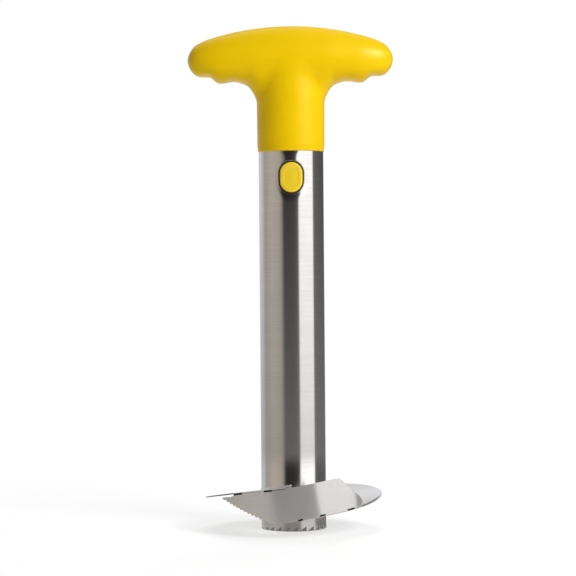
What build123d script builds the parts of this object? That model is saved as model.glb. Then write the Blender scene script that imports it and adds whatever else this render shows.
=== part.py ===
from build123d import *
from math import cos, floor, pi, radians, sin, sqrt
import os

# Pineapple slicer: a toothed core tube with a helical slicing disc and a serrated rim
# blade, under a T-handle that lifts off when two press buttons in the tube are pushed in.
# Millimetres. Origin on the tube axis in the plane of the tooth tips, +Z up, front is -Y.
# Azimuths are degrees counted from +X towards +Y.
front_azimuth = -90.0

# Core tube
tube_outer_diameter = 31.75
tube_wall = 0.6
tube_length = 184.0
tooth_count = 24
tooth_depth = 2.3
tooth_tip_width = 0.5

# Oval windows in the tube and the press buttons behind them
button_width = 10.9
button_height = 14.6
button_drop = 12.8
window_side_gap = 0.6
window_end_gap = 0.45
button_stand_proud = 1.0
button_dish_depth = 0.45
button_dish_radius = 40.0
button_edge_rounding = 0.5
button_press = 2.5
button_flange_overlap = 1.6
button_flange_thickness = 1.6
button_sleeve_wall = 1.6

# Latch housing that plugs into the tube
housing_clearance = 0.08
housing_depth = 32.5
lip_thickness = 4.2
web_thickness = 3.0
guide_gap = 0.3
seat_gap = 0.05
pocket_headroom = 2.0
shank_width = 18.0
collar_radius = 13.6
collar_thickness = 3.0
core_pocket_radius = 6.0
cap_thickness = 2.5
cap_block_gap = 1.0

# Coil springs between the web and each button
spring_wire = 0.6
spring_radius = 2.7
spring_turns = 5
spring_samples = 24
wire_sides = 5
spring_pocket_gap = 0.4
spring_pocket_floor = 2.5
spring_peg_length = 1.8

# Slicing disc
blade_diameter = 86.5
disc_thickness = 0.6
disc_edge_thickness = 0.2
disc_low_level = 9.0
disc_rise = 15.2
disc_start_azimuth = -88.0
disc_end_azimuth = 267.0
disc_bevel_turn = 3.0

# Height of the disc round one turn, as shares of its rise: azimuth, at the tube, at the rim.
# Both halves are nearly flat and tilted, and the sheet twists from one to the other behind.
disc_shares = [
    (-88.0, 0.150, 0.008),
    (-75.0, 0.178, 0.109),
    (-60.0, 0.211, 0.204),
    (-45.0, 0.247, 0.299),
    (-30.0, 0.283, 0.390),
    (-15.0, 0.308, 0.469),
    (0.0, 0.332, 0.530),
    (15.0, 0.344, 0.570),
    (30.0, 0.355, 0.592),
    (45.0, 0.361, 0.579),
    (60.0, 0.368, 0.533),
    (75.0, 0.405, 0.480),
    (90.0, 0.451, 0.408),
    (105.0, 0.500, 0.335),
    (120.0, 0.539, 0.289),
    (135.0, 0.556, 0.276),
    (150.0, 0.566, 0.293),
    (165.0, 0.585, 0.339),
    (180.0, 0.609, 0.411),
    (195.0, 0.645, 0.503),
    (210.0, 0.684, 0.612),
    (225.0, 0.727, 0.728),
    (240.0, 0.770, 0.838),
    (255.0, 0.807, 0.931),
    (267.0, 0.836, 1.000),
]

# Rim blade: the upright strip that stands on the low leaf and hangs from the high one
rim_thickness = 0.6
rim_step = 3.0
rim_slot_height = 0.7
rim_seat_gap = 0.1
serration_count = 12
serration_radius = 1.05
serration_inset = 0.45

# Free edges of the strip as shares of the disc's rise above its low level
rim_upper_shares = [
    (-141.8, 0.597),
    (-134.2, 0.640),
    (-132.6, 0.668),
    (-131.4, 0.722),
]
rim_top_shares = [
    (-95.0, 0.960),
    (-89.0, 1.026),
    (-78.6, 1.112),
    (-68.8, 1.197),
    (-61.0, 1.248),
    (-59.4, 1.210),
    (-56.0, 1.086),
    (-50.7, 0.901),
    (-46.9, 0.743),
    (-42.3, 0.586),
    (-40.3, 0.493),
]
rim_lower_shares = [
    (-141.8, 0.540),
    (-104.9, -0.099),
    (-95.6, -0.053),
    (-89.4, 0.000),
    (-87.0, 0.030),
]
rim_tail_shares = [
    (-43.7, 0.355),
    (-41.4, 0.368),
    (-40.3, 0.410),
]
rim_hang_azimuths = (-131.4, -95.0)
rim_stand_azimuths = (-87.0, -43.7)
upper_slots = [(-131.4, -124.5), (-109.1, -103.8)]
lower_slots = [(-87.4, -84.4), (-73.6, -69.8), (-54.0, -48.2)]

# T-handle, two half shells that meet in the plane of the bar
handle_width = 100.2
handle_depth = 33.2
handle_height = 61.4
widest_share = 0.7329
bar_root_share = 0.4153
neck_foot_diameter = 32.8
neck_draft = 0.2
neck_shoulder_share = 0.6189
neck_crown_share = 0.798
neck_crown_radius = 13.0
shell_wall = 2.4
neck_floor = 8.0
retainer_thickness = 2.0
retainer_bore_radius = 10.5
section_fullness_share = 0.62
peg_radius = 1.5
peg_length = 4.0
boss_radius = 3.2
end_boss_x_share = 0.6986
end_boss_share = 0.7573
middle_boss_x_share = 0.2894
middle_boss_share = 0.8062

# Sections along one arm of the bar: along the arm from the neck, rise of the top above the
# widest level, drop of the underside below it, half depth, fullness of the lower corners
arm_shares = [
    (0.000, 0.937, 0.923, 0.965, 0.46),
    (0.087, 0.913, 0.723, 0.950, 0.50),
    (0.191, 0.878, 0.592, 0.920, 0.55),
    (0.340, 0.820, 0.533, 0.880, 0.60),
    (0.460, 0.762, 0.562, 0.850, 0.62),
    (0.528, 0.728, 0.574, 0.830, 0.62),
    (0.585, 0.695, 0.544, 0.810, 0.62),
    (0.645, 0.660, 0.456, 0.785, 0.62),
    (0.728, 0.607, 0.408, 0.745, 0.62),
    (0.818, 0.524, 0.408, 0.680, 0.62),
    (0.893, 0.433, 0.362, 0.590, 0.62),
    (0.952, 0.290, 0.256, 0.430, 0.62),
    (0.985, 0.165, 0.150, 0.270, 0.62),
    (1.000, 0.060, 0.058, 0.130, 0.62),
]
# The same inside the neck, where the first number is a share of the neck's radius
root_shares = [
    (0.000, 1.000, 0.880, 1.000, 0.42),
    (0.550, 0.982, 0.900, 0.992, 0.42),
]
# The hollow inside an arm, by the same columns before the wall is taken off
cavity_shares = [
    (0.000, 0.937, 0.800, 0.965, 0.44),
    (0.191, 0.878, 0.570, 0.920, 0.53),
    (0.340, 0.820, 0.510, 0.880, 0.60),
    (0.450, 0.770, 0.500, 0.852, 0.62),
    (0.550, 0.720, 0.480, 0.825, 0.62),
    (0.680, 0.640, 0.400, 0.765, 0.62),
    (0.800, 0.540, 0.380, 0.690, 0.62),
]

cut_overrun = 4.0

# Places worked out from the sizes above
tube_radius = tube_outer_diameter / 2
bore_radius = tube_radius - tube_wall
blade_radius = blade_diameter / 2
housing_radius = bore_radius - housing_clearance
housing_bottom = tube_length - housing_depth
button_level = tube_length - button_drop
button_face = tube_radius + button_stand_proud
half_web = web_thickness / 2
flange_face = housing_radius - lip_thickness
flange_back = flange_face - button_flange_thickness
flange_width = button_width + 2 * button_flange_overlap
flange_height = button_height + 2 * button_flange_overlap
sleeve_end = half_web + button_press + seat_gap
spring_pocket_radius = spring_radius + spring_wire / 2 + spring_pocket_gap
spring_pocket_end = button_face - button_dish_depth - spring_pocket_floor
collar_level = tube_length + neck_floor
retainer_level = collar_level + collar_thickness
neck_radius = neck_foot_diameter / 2 + neck_draft
half_width = handle_width / 2
half_depth = handle_depth / 2
overall_height = tube_length + handle_height
widest_level = tube_length + widest_share * handle_height
bar_root_level = tube_length + bar_root_share * handle_height
neck_shoulder_level = tube_length + neck_shoulder_share * handle_height
neck_crown_level = tube_length + neck_crown_share * handle_height
top_rise = overall_height - widest_level
root_drop = widest_level - bar_root_level
arm_length = half_width - neck_radius


def rim_point(azimuth, radius, level):
    """Point at an azimuth, a radius and a level."""
    return (radius * cos(radians(azimuth)), radius * sin(radians(azimuth)), level)


def radial_plane(azimuth, radius, level):
    """Plane square to the radius, local X along the rim and local Y up."""
    outward = (cos(radians(azimuth)), sin(radians(azimuth)), 0)
    along = (-sin(radians(azimuth)), cos(radians(azimuth)), 0)
    return Plane(origin=rim_point(azimuth, radius, level), x_dir=along, z_dir=outward)


def between(table, value, column):
    """Straight-line reading of a table's column at a value of its first column."""
    for low, high in zip(table, table[1:]):
        if value <= high[0]:
            part = (value - low[0]) / (high[0] - low[0])
            return low[column] + part * (high[column] - low[column])
    return table[-1][column]


def upright_oval(width, height, near, far):
    """Upright oval block at the button level that runs along -Y from near to far."""
    plane = Plane(origin=(0, -near, button_level), x_dir=(1, 0, 0), z_dir=(0, -1, 0))
    return extrude(plane * SlotOverall(height, width, rotation=90), amount=far - near)


def front_rod(radius, near, far):
    """Round rod at the button level that runs along -Y from near to far."""
    plane = Plane(origin=(0, -near, button_level), x_dir=(1, 0, 0), z_dir=(0, -1, 0))
    return extrude(plane * Circle(radius), amount=far - near)


def upright_cylinder(radius, bottom, top):
    """Cylinder on the tube axis between two levels."""
    return extrude(Plane.XY.offset(bottom) * Circle(radius), amount=top - bottom)


def both_sides(shape):
    """A shape of the front side with its copy turned half round to the back."""
    return shape + shape.rotate(Axis.Z, 180)


def make_core_tube():
    """Tube with two opposite oval windows and a saw-toothed bottom edge."""
    tube = upright_cylinder(tube_radius, 0, tube_length)
    tube -= upright_cylinder(bore_radius, -cut_overrun, tube_length + cut_overrun)
    window = upright_oval(
        button_width + 2 * window_side_gap,
        button_height + 2 * window_end_gap,
        0,
        tube_radius + cut_overrun,
    )
    tube -= both_sides(window)
    pitch = 360 / tooth_count
    pitch_length = 2 * tube_radius * sin(radians(pitch / 2))
    gullet = Polyline(
        (-pitch_length / 2 + tooth_tip_width, 0),
        (pitch_length / 2, tooth_depth),
        (pitch_length / 2, -cut_overrun),
        (-pitch_length / 2 + tooth_tip_width, -cut_overrun),
        close=True,
    )
    for tooth in range(tooth_count):
        plane = radial_plane(front_azimuth + pitch * tooth, tube_radius - tube_wall / 2, 0)
        tube -= extrude(plane * make_face(gullet), amount=cut_overrun / 2, both=True)
    return tube


def disc_level(azimuth, radius):
    """Level of the disc's middle plane, which runs straight from the tube to the rim."""
    inner = between(disc_shares, azimuth, 1)
    outer = between(disc_shares, azimuth, 2)
    part = (radius - tube_radius) / (blade_radius - tube_radius)
    return disc_low_level + disc_rise * (inner + part * (outer - inner))


def disc_section(azimuth, thickness):
    """Upright cut through the disc along one radius."""
    inner = disc_level(azimuth, tube_radius)
    outer = disc_level(azimuth, blade_radius)
    corners = [
        rim_point(azimuth, tube_radius, inner - thickness / 2),
        rim_point(azimuth, blade_radius, outer - thickness / 2),
        rim_point(azimuth, blade_radius, outer + thickness / 2),
        rim_point(azimuth, tube_radius, inner + thickness / 2),
    ]
    return Wire.make_polygon(corners, close=True)


def make_slicing_disc():
    """Split ring of sheet that climbs one turn round the tube, thin at its leading edge."""
    azimuths = [row[0] for row in disc_shares]
    ground = disc_start_azimuth + disc_bevel_turn
    wires = [disc_section(disc_start_azimuth, disc_edge_thickness)]
    wires.append(disc_section(ground, disc_thickness))
    wires += [disc_section(a, disc_thickness) for a in azimuths[1:]]
    return Solid.make_loft(wires)


def rim_top(azimuth, radius):
    """Level of the strip's top edge."""
    start, end = rim_hang_azimuths
    if azimuth < start:
        return disc_low_level + disc_rise * between(rim_upper_shares, azimuth, 1)
    if azimuth <= end:
        return disc_level(azimuth + 360, radius) - disc_thickness / 2 - rim_seat_gap
    return disc_low_level + disc_rise * between(rim_top_shares, azimuth, 1)


def rim_bottom(azimuth, radius):
    """Level of the strip's bottom edge, before the serrations are cut."""
    start, end = rim_stand_azimuths
    if azimuth < start:
        return disc_low_level + disc_rise * between(rim_lower_shares, azimuth, 1)
    if azimuth <= end:
        return disc_level(azimuth, radius) + disc_thickness / 2 + rim_seat_gap
    return disc_low_level + disc_rise * between(rim_tail_shares, azimuth, 1)


def rim_stations():
    """Azimuths of the strip's sections: every corner of its edges and steps between."""
    tables = rim_upper_shares + rim_top_shares + rim_lower_shares + rim_tail_shares
    corners = {row[0] for row in tables} | set(rim_hang_azimuths) | set(rim_stand_azimuths)
    first, last = min(corners), max(corners)
    steps = floor((last - first) / rim_step)
    regular = {first + rim_step * k for k in range(1, steps + 1)}
    spare = {a for a in regular if min(abs(a - c) for c in corners) < rim_step / 2}
    return sorted(corners | (regular - spare))


def rim_section(azimuth):
    """Upright cut through the strip along one radius."""
    inner, outer = blade_radius - rim_thickness, blade_radius
    corners = [
        rim_point(azimuth, inner, rim_bottom(azimuth, inner)),
        rim_point(azimuth, outer, rim_bottom(azimuth, outer)),
        rim_point(azimuth, outer, rim_top(azimuth, outer)),
        rim_point(azimuth, inner, rim_top(azimuth, inner)),
    ]
    return Wire.make_polygon(corners, close=True)


def make_rim_blade():
    """Upright strip with a serrated leading edge, and slots along its two joints."""
    strip = Solid.make_loft([rim_section(a) for a in rim_stations()], ruled=True)
    middle_radius = blade_radius - rim_thickness / 2
    tip, heel = rim_lower_shares[0], rim_lower_shares[1]
    for k in range(serration_count):
        part = (k + 1) / (serration_count + 1)
        azimuth = tip[0] + part * (heel[0] - tip[0])
        level = rim_bottom(azimuth, middle_radius) - serration_inset
        plane = radial_plane(azimuth, middle_radius, level)
        strip -= plane * Cylinder(serration_radius, cut_overrun)
    for start, end in upper_slots + lower_slots:
        azimuth = (start + end) / 2
        edge = rim_top if azimuth < rim_hang_azimuths[1] else rim_bottom
        length = blade_radius * radians(end - start)
        reach = edge(end, middle_radius) - edge(start, middle_radius)
        plane = radial_plane(azimuth, middle_radius, edge(azimuth, middle_radius))
        slot = Polyline(
            (-length / 2, -reach / 2 - rim_slot_height),
            (length / 2, reach / 2 - rim_slot_height),
            (length / 2, reach / 2 + rim_slot_height),
            (-length / 2, -reach / 2 + rim_slot_height),
            close=True,
        )
        strip -= extrude(plane * make_face(slot), amount=cut_overrun / 2, both=True)
    return strip


def bar_section(x, rise, drop, depth, under_fullness, wall):
    """Rounded section of the bar, square to its length, drawn in by a wall."""
    top = rise * top_rise - wall
    bottom = drop * root_drop - wall
    side = depth * half_depth - wall
    plane = Plane(origin=(x, 0, widest_level), x_dir=(0, 1, 0), z_dir=(1, 0, 0))
    quarters = []
    for across, up in ((1, 1), (-1, 1), (-1, -1), (1, -1)):
        height = top if up > 0 else bottom
        full = section_fullness_share if up > 0 else under_fullness
        corner = [
            (across * side, 0),
            (across * side, up * full * height),
            (across * full * side, up * height),
            (0, up * height),
        ]
        if across != up:
            corner.reverse()
        quarters.append(Bezier(*corner))
    return plane * make_face(quarters)


def bar_solid(sections, wall):
    """Bar lofted through its sections from one end to the other, drawn in by a wall."""
    right = [(share[0] * neck_radius, *share[1:]) for share in root_shares]
    right += [(neck_radius + share[0] * arm_length, *share[1:]) for share in sections]
    left = [(-x, *shares) for x, *shares in reversed(right[1:])]
    return loft([bar_section(*station, wall) for station in left + right])


def neck_solid():
    """Round neck with a slight draft, closing inwards under the crown of the bar."""
    shoulder = (neck_radius, neck_shoulder_level)
    crown = (neck_crown_radius, neck_crown_level)
    foot = (neck_foot_diameter / 2, tube_length)
    outline = [
        Line((0, tube_length), foot),
        Line(foot, shoulder),
        TangentArc(shoulder, crown, tangent=(neck_draft, neck_shoulder_level - tube_length)),
        Line(crown, (0, neck_crown_level)),
        Line((0, neck_crown_level), (0, tube_length)),
    ]
    return revolve(Plane.XZ * make_face(outline), Axis.Z)


def half_of(shape, side):
    """The part of a shape in front of (side -1) or behind (side 1) the bar's plane."""
    reach = handle_width
    block = Box(2 * reach, reach, 2 * reach, align=(Align.CENTER, Align.MIN, Align.CENTER))
    block = Pos(0, 0, widest_level) * block
    return shape & (block if side > 0 else block.rotate(Axis.Z, 180))


def boss_places():
    """Places of the four peg bosses in the plane of the bar."""
    places = []
    for across, up in ((end_boss_x_share, end_boss_share), (middle_boss_x_share, middle_boss_share)):
        level = tube_length + up * handle_height
        places += [(-across * half_width, level), (across * half_width, level)]
    return places


def rod_along_y(x, level, radius, start, end):
    """Round rod square to the bar's plane."""
    plane = Plane(origin=(x, start, level), x_dir=(-1, 0, 0), z_dir=(0, 1, 0))
    return extrude(plane * Circle(radius), amount=end - start)


def make_handle_shells():
    """The two half shells, one with pegs and the other with their sockets."""
    outside = bar_solid(arm_shares, 0) + neck_solid()
    hollow = bar_solid(cavity_shares, shell_wall)
    neck_bore = upright_cylinder(collar_radius, collar_level, neck_shoulder_level + cut_overrun)
    retainer = upright_cylinder(neck_radius, retainer_level, retainer_level + retainer_thickness)
    retainer -= upright_cylinder(
        retainer_bore_radius, retainer_level, retainer_level + retainer_thickness
    )
    hole = Box(shank_width, shank_width, neck_floor + cut_overrun)
    hole = Pos(0, 0, collar_level - neck_floor / 2) * hole
    shell = outside - hollow - neck_bore + (retainer & outside) - hole
    shells = []
    for side in (-1, 1):
        half = half_of(shell, side)
        for x, level in boss_places():
            boss = rod_along_y(x, level, boss_radius, 0, side * half_depth)
            half += boss & outside
        for x, level in boss_places():
            if side < 0:
                half += rod_along_y(x, level, peg_radius, -peg_length, peg_length)
            else:
                half -= rod_along_y(x, level, peg_radius + seat_gap, 0, peg_length + guide_gap)
        shells.append(half)
    return shells


def make_latch_housing():
    """Plug that carries both buttons, with a square shank and a collar held by the shells."""
    plug = upright_cylinder(housing_radius, housing_bottom, tube_length)
    shank = Box(shank_width, shank_width, neck_floor + collar_thickness)
    plug += Pos(0, 0, tube_length + (neck_floor + collar_thickness) / 2) * shank
    plug += upright_cylinder(collar_radius, collar_level, retainer_level)
    roof = button_level + flange_height / 2 + guide_gap + pocket_headroom
    plug -= upright_cylinder(core_pocket_radius, roof, retainer_level)
    front = flange_face + seat_gap
    pocket = upright_oval(
        flange_width + 2 * guide_gap, flange_height + 2 * guide_gap, half_web, front
    )
    channel = Box(
        flange_width + 2 * guide_gap,
        front - half_web,
        button_level - housing_bottom,
        align=(Align.CENTER, Align.MAX, Align.MIN),
    )
    pocket += Pos(0, -half_web, housing_bottom) * channel
    window = upright_oval(
        button_width + 2 * guide_gap,
        button_height + 2 * guide_gap,
        half_web,
        housing_radius + cut_overrun,
    )
    plug -= both_sides(pocket + window)
    peg_tip = half_web + spring_peg_length
    peg = front_rod(spring_radius - spring_wire / 2 - spring_pocket_gap, 0, peg_tip)
    return plug + both_sides(peg)


def make_latch_cap():
    """Disc that closes the plug from below, with blocks that fill the button channels."""
    cap = upright_cylinder(housing_radius, housing_bottom - cap_thickness, housing_bottom)
    block_top = button_level - flange_height / 2 - cap_block_gap
    block = Box(
        flange_width,
        flange_face - half_web - 2 * guide_gap,
        block_top - housing_bottom,
        align=(Align.CENTER, Align.MAX, Align.MIN),
    )
    return cap + both_sides(Pos(0, -half_web - guide_gap, housing_bottom) * block)


def make_front_button():
    """Oval button with a dished face, a retaining flange and a sleeve round its spring."""
    button = upright_oval(button_width, button_height, flange_back, button_face + cut_overrun)
    bottom = button_level - flange_height
    button &= upright_cylinder(button_face, bottom, button_level + flange_height)
    face = button.faces().sort_by(Axis.Y)[0]
    button = chamfer(face.edges(), button_edge_rounding)
    dish_centre = button_face - button_dish_depth + button_dish_radius
    button -= Pos(0, -dish_centre, button_level) * Sphere(button_dish_radius)
    button += upright_oval(flange_width, flange_height, flange_back, flange_face)
    button += front_rod(spring_pocket_radius + button_sleeve_wall, sleeve_end, flange_face)
    return button - front_rod(spring_pocket_radius, sleeve_end, spring_pocket_end)


def coil_point(turn, start, pitch):
    """Point of the coil's centreline after a number of turns, counted from its web end."""
    across = spring_radius * cos(2 * pi * turn)
    up = spring_radius * sin(2 * pi * turn)
    return Vector(across, -start - pitch * turn, button_level + up)


def coil_tangent(turn, pitch):
    """Direction of the coil's centreline after a number of turns."""
    around = 2 * pi * spring_radius
    angle = 2 * pi * turn
    return Vector(-around * sin(angle), -pitch, around * cos(angle)).normalized()


def half_turn(turn, start, pitch):
    """Two tangent arcs that follow half a turn of the coil."""
    first, last = coil_point(turn, start, pitch), coil_point(turn + 1 / 2, start, pitch)
    leaving, arriving = coil_tangent(turn, pitch), coil_tangent(turn + 1 / 2, pitch)
    chord, both = last - first, leaving + arriving
    spread = 2 * (1 - leaving.dot(arriving))
    reach = (sqrt(chord.dot(both) ** 2 + spread * chord.dot(chord)) - chord.dot(both)) / spread
    out, back = first + leaving * reach, last - arriving * reach
    middle = (out + back) / 2
    return [
        Edge.make_tangent_arc(first, leaving, middle),
        Edge.make_tangent_arc(middle, back - out, last),
    ]


def make_front_spring():
    """Compression coil from the web to the end of the button's spring pocket."""
    start = half_web + spring_wire / 2 + seat_gap
    end = spring_pocket_end - spring_wire / 2 - seat_gap
    pitch = (end - start) / spring_turns
    arcs = []
    for half in range(2 * spring_turns):
        arcs += half_turn(half / 2, start, pitch)
    path = Wire(arcs)
    steps = range(spring_samples * spring_turns + 1)
    points = [coil_point(step / spring_samples, start, pitch) for step in steps]
    apart = spring_samples // 2
    gaps = [(a - b).length for i, a in enumerate(points) for b in points[i + apart :]]
    print("least gap in a spring", round(min(gaps) - spring_wire, 3))
    section = Plane(origin=path @ 0, z_dir=path % 0) * RegularPolygon(spring_wire / 2, wire_sides)
    return sweep(section, path=path)


def main():
    """Make every piece and write one file for each."""
    front_shell, back_shell = make_handle_shells()
    button = make_front_button()
    spring = make_front_spring()
    pieces = {
        "core_tube": make_core_tube(),
        "slicing_disc": make_slicing_disc(),
        "rim_blade": make_rim_blade(),
        "handle_front_shell": front_shell,
        "handle_back_shell": back_shell,
        "latch_housing": make_latch_housing(),
        "latch_cap": make_latch_cap(),
        "front_button": button,
        "back_button": button.rotate(Axis.Z, 180),
        "front_spring": spring,
        "back_spring": spring.rotate(Axis.Z, 180),
    }
    os.makedirs("parts", exist_ok=True)
    for name, piece in pieces.items():
        export_step(piece, "parts/" + name + ".step")


main()
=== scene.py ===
"""Pineapple slicer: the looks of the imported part, in metres, in the frame of its solids.

Sizes inside the classes are in millimetres and azimuths in degrees from +X towards +Y.
"""

import logging
import math
from dataclasses import dataclass, field
from enum import Enum
from itertools import product
from typing import Callable, Sequence

import bpy
import numpy as np
from mathutils import Matrix, Vector


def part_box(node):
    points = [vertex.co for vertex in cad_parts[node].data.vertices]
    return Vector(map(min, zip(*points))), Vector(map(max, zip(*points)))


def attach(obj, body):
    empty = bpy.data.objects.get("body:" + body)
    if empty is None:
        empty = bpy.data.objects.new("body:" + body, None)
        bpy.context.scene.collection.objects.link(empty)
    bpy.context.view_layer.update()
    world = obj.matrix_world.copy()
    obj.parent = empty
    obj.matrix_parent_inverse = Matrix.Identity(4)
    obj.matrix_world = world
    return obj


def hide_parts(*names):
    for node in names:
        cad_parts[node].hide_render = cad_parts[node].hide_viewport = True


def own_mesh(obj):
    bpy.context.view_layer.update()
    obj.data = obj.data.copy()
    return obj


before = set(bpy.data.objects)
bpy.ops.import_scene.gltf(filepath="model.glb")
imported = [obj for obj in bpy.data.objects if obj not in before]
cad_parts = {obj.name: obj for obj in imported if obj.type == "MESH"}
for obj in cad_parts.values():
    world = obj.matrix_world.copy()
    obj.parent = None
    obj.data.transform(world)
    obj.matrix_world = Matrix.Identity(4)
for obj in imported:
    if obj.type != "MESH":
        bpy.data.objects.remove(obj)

Array = np.ndarray
Material = bpy.types.Material
Object = bpy.types.Object
Socket = bpy.types.NodeSocket
Pair = tuple[float, float]
Triple = tuple[float, float, float]

LOG = logging.getLogger("slicer")
MM = 0.001
TURN = 360.0
WHITE: Triple = (1.0, 1.0, 1.0)


class Slot(Enum):
    """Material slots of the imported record."""

    TUBE = "tube_steel"
    BLADE = "blade_steel"
    HANDLE = "handle_plastic"
    BUTTON = "button_plastic"
    LATCH = "latch_plastic"
    SPRING = "spring_steel"


class Body(Enum):
    """Bodies that the pieces ride on."""

    CORER = "corer"
    HANDLE = "handle"
    FRONT_BUTTON = "front_button"
    BACK_BUTTON = "back_button"


class Side(Enum):
    """Front is the side of the camera; the value turns a front piece to its side."""

    FRONT = 1
    BACK = -1

    def turned(self, points: Array) -> Array:
        """Points of a front piece turned half round the tube's axis for the back."""
        return points * np.array([self.value, self.value, 1.0])

    def named(self, piece: str) -> str:
        """Name of a piece that is there on both sides."""
        return f"{self.name.lower()}_{piece}"


def box_mm(node: str) -> tuple[Array, Array]:
    """Lowest and highest corner of a node of the frame, in millimetres."""
    low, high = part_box(node)
    return np.array(low) / MM, np.array(high) / MM


# ---------------------------------------------------------------- curves


def broken_line(table: Sequence[Pair], value: Array) -> Array:
    """Straight-line reading of a table of places and values."""
    return np.interp(value, *np.array(table, float).T)


def smooth_line(places: Array, values: Array, at: Array) -> Array:
    """Natural cubic spline through places and values, straight on beyond both ends.

    The second derivatives m solve h[i-1] m[i-1] + 2 (h[i-1] + h[i]) m[i] + h[i] m[i+1]
    = 6 (slope[i] - slope[i-1]), and are nil at both ends.

    Args:
        places: rising places of the knots.
        values: values at the knots.
        at: places to read at.

    Returns:
        Values of the spline.
    """
    steps = np.diff(places)
    slopes = np.diff(values) / steps
    inner = np.arange(1, len(places) - 1)
    system, right = np.eye(len(places)), np.zeros(len(places))
    system[inner, inner - 1] = steps[:-1]
    system[inner, inner] = 2 * (steps[:-1] + steps[1:])
    system[inner, inner + 1] = steps[1:]
    right[inner] = 6 * np.diff(slopes)
    bend = np.linalg.solve(system, right)
    held = np.clip(at, places[0], places[-1])
    i = np.clip(np.searchsorted(places, held, side="right") - 1, 0, len(places) - 2)
    part = held - places[i]
    slope = slopes[i] - steps[i] * (2 * bend[i] + bend[i + 1]) / 6
    change = (bend[i + 1] - bend[i]) / (6 * steps[i])
    read = values[i] + part * (slope + part * (bend[i] / 2 + part * change))
    first, last = slopes[0] - steps[0] * bend[1] / 6, slopes[-1] + steps[-1] * bend[-2] / 6
    return read + np.where(at > held, last, first) * (at - held)


def ease(value: Array, start: float, end: float) -> Array:
    """Smooth step: 0 before start, 1 after end, 3 t^2 - 2 t^3 between."""
    t = np.clip((value - start) / (end - start), 0, 1)
    return t * t * (3 - 2 * t)


def fade(distance: Array, reach: float) -> Array:
    """Straight fall from 1 at no distance to 0 at the reach."""
    return np.clip(1 - distance / reach, 0, 1)


def bell(distance: Array, width: float) -> Array:
    """Bell exp(-(d / w)^2)."""
    return np.exp(-((distance / width) ** 2))


def in_spans(azimuth: Array, spans: Sequence[Pair]) -> Array:
    """Whether each azimuth lies inside one of the spans."""
    return np.any([(azimuth > start) & (azimuth < end) for start, end in spans], axis=0)


def beside(spans: Sequence[Pair], step: float) -> Array:
    """Places a step before and a step after both ends of each span."""
    return np.array([end + shift for span in spans for end in span for shift in (-step, step)])


def round_point(azimuth: Array, radius: Array, level: Array) -> Array:
    """Points (r cos a, r sin a, z) of arrays that broadcast together.

    Args:
        azimuth: azimuths in degrees.
        radius: distances from the axis.
        level: heights.

    Returns:
        The points.
    """
    turn = np.radians(azimuth)
    parts = np.broadcast_arrays(radius * np.cos(turn), radius * np.sin(turn), level)
    return np.stack(parts, axis=-1)


def azimuths_of(points: Array) -> Array:
    """Azimuths of points."""
    return np.degrees(np.arctan2(points[:, 1], points[:, 0]))


def slot_reach(angle: Array, half_width: float, half_height: float) -> Array:
    """Reach of an upright slot shape from its centre in each direction.

    A ray meets either a straight side, at half width over its share across, or an end
    circle centred at the straight part's end.

    Args:
        angle: direction of each ray in radians, from across to up.
        half_width: half the slot's width, the radius of its ends.
        half_height: half its height.

    Returns:
        Distance to the outline along each ray.
    """
    across, up = np.abs(np.cos(angle)), np.abs(np.sin(angle))
    straight = half_height - half_width
    side = half_width / np.maximum(across, 1e-9)
    end = straight * up + np.sqrt(np.maximum(half_width**2 - (straight * across) ** 2, 0))
    return np.where(side * up <= straight, side, end)


# ---------------------------------------------------------------- meshes


@dataclass
class Surface:
    """Patches of quads that are welded into one closed mesh."""

    points: list[Array] = field(default_factory=list)
    faces: list[Array] = field(default_factory=list)
    count: int = 0

    def patch(self, grid: Array, flip: bool = False, keep: Array | None = None) -> None:
        """Adds a grid of points as quads.

        Args:
            grid: points by row and column.
            flip: turns the faces over.
            keep: which steps between columns get faces, or None for all.
        """
        rows, columns = grid.shape[:2]
        index = self.count + np.arange(rows * columns).reshape(rows, columns)
        corners = [index[:-1, :-1], index[:-1, 1:], index[1:, 1:], index[1:, :-1]]
        quads = np.stack(corners, axis=-1)
        quads = (quads if keep is None else quads[:, keep]).reshape(-1, 4)
        self.points.append(grid.reshape(-1, 3))
        self.faces.append(quads[:, ::-1] if flip else quads)
        self.count += rows * columns

    def sheet(self, first: Array, second: Array) -> None:
        """Adds both faces of a sheet and the four strips between their edges.

        Args:
            first: grid of points of the face that isn't turned over.
            second: grid of the other face, of the same shape.
        """
        self.patch(first)
        self.patch(second, flip=True)
        for end, flip in ((-1, False), (0, True)):
            self.patch(np.stack([first[:, end], second[:, end]], axis=1), flip)
            self.patch(np.stack([first[end], second[end]]), flip)

    def welded(self) -> tuple[Array, Array, Array]:
        """Joins coincident points and turns the faces outwards.

        Points are joined where they agree to a ten-thousandth of a unit. A quad that lost
        a side becomes a triangle, and one that lost more is dropped. The sum of the
        tetrahedra between the origin and the faces tells which way they point.

        Returns:
            Points, quads and triangles.
        """
        points, quads = np.concatenate(self.points), np.concatenate(self.faces)
        keys = np.round(points * 1e4).astype(np.int64)
        _, first, inverse = np.unique(keys, axis=0, return_index=True, return_inverse=True)
        quads = inverse.reshape(-1)[quads]
        points = points[first]
        same = quads == np.roll(quads, -1, axis=1)
        folded = (quads[:, 0] == quads[:, 2]) | (quads[:, 1] == quads[:, 3])
        lost = same.sum(axis=1)
        triangles = np.concatenate([
            np.delete(quads[(lost == 1) & same[:, k] & ~folded], k, axis=1) for k in range(4)
        ])
        quads = quads[(lost == 0) & ~folded]
        parts = np.concatenate([quads[:, :3], quads[:, [0, 2, 3]], triangles])
        a, b, c = (points[parts[:, k]] for k in range(3))
        if np.einsum("ij,ij->", a, np.cross(b, c)) < 0:
            quads, triangles = quads[:, ::-1], triangles[:, ::-1]
        return points, quads, triangles


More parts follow.
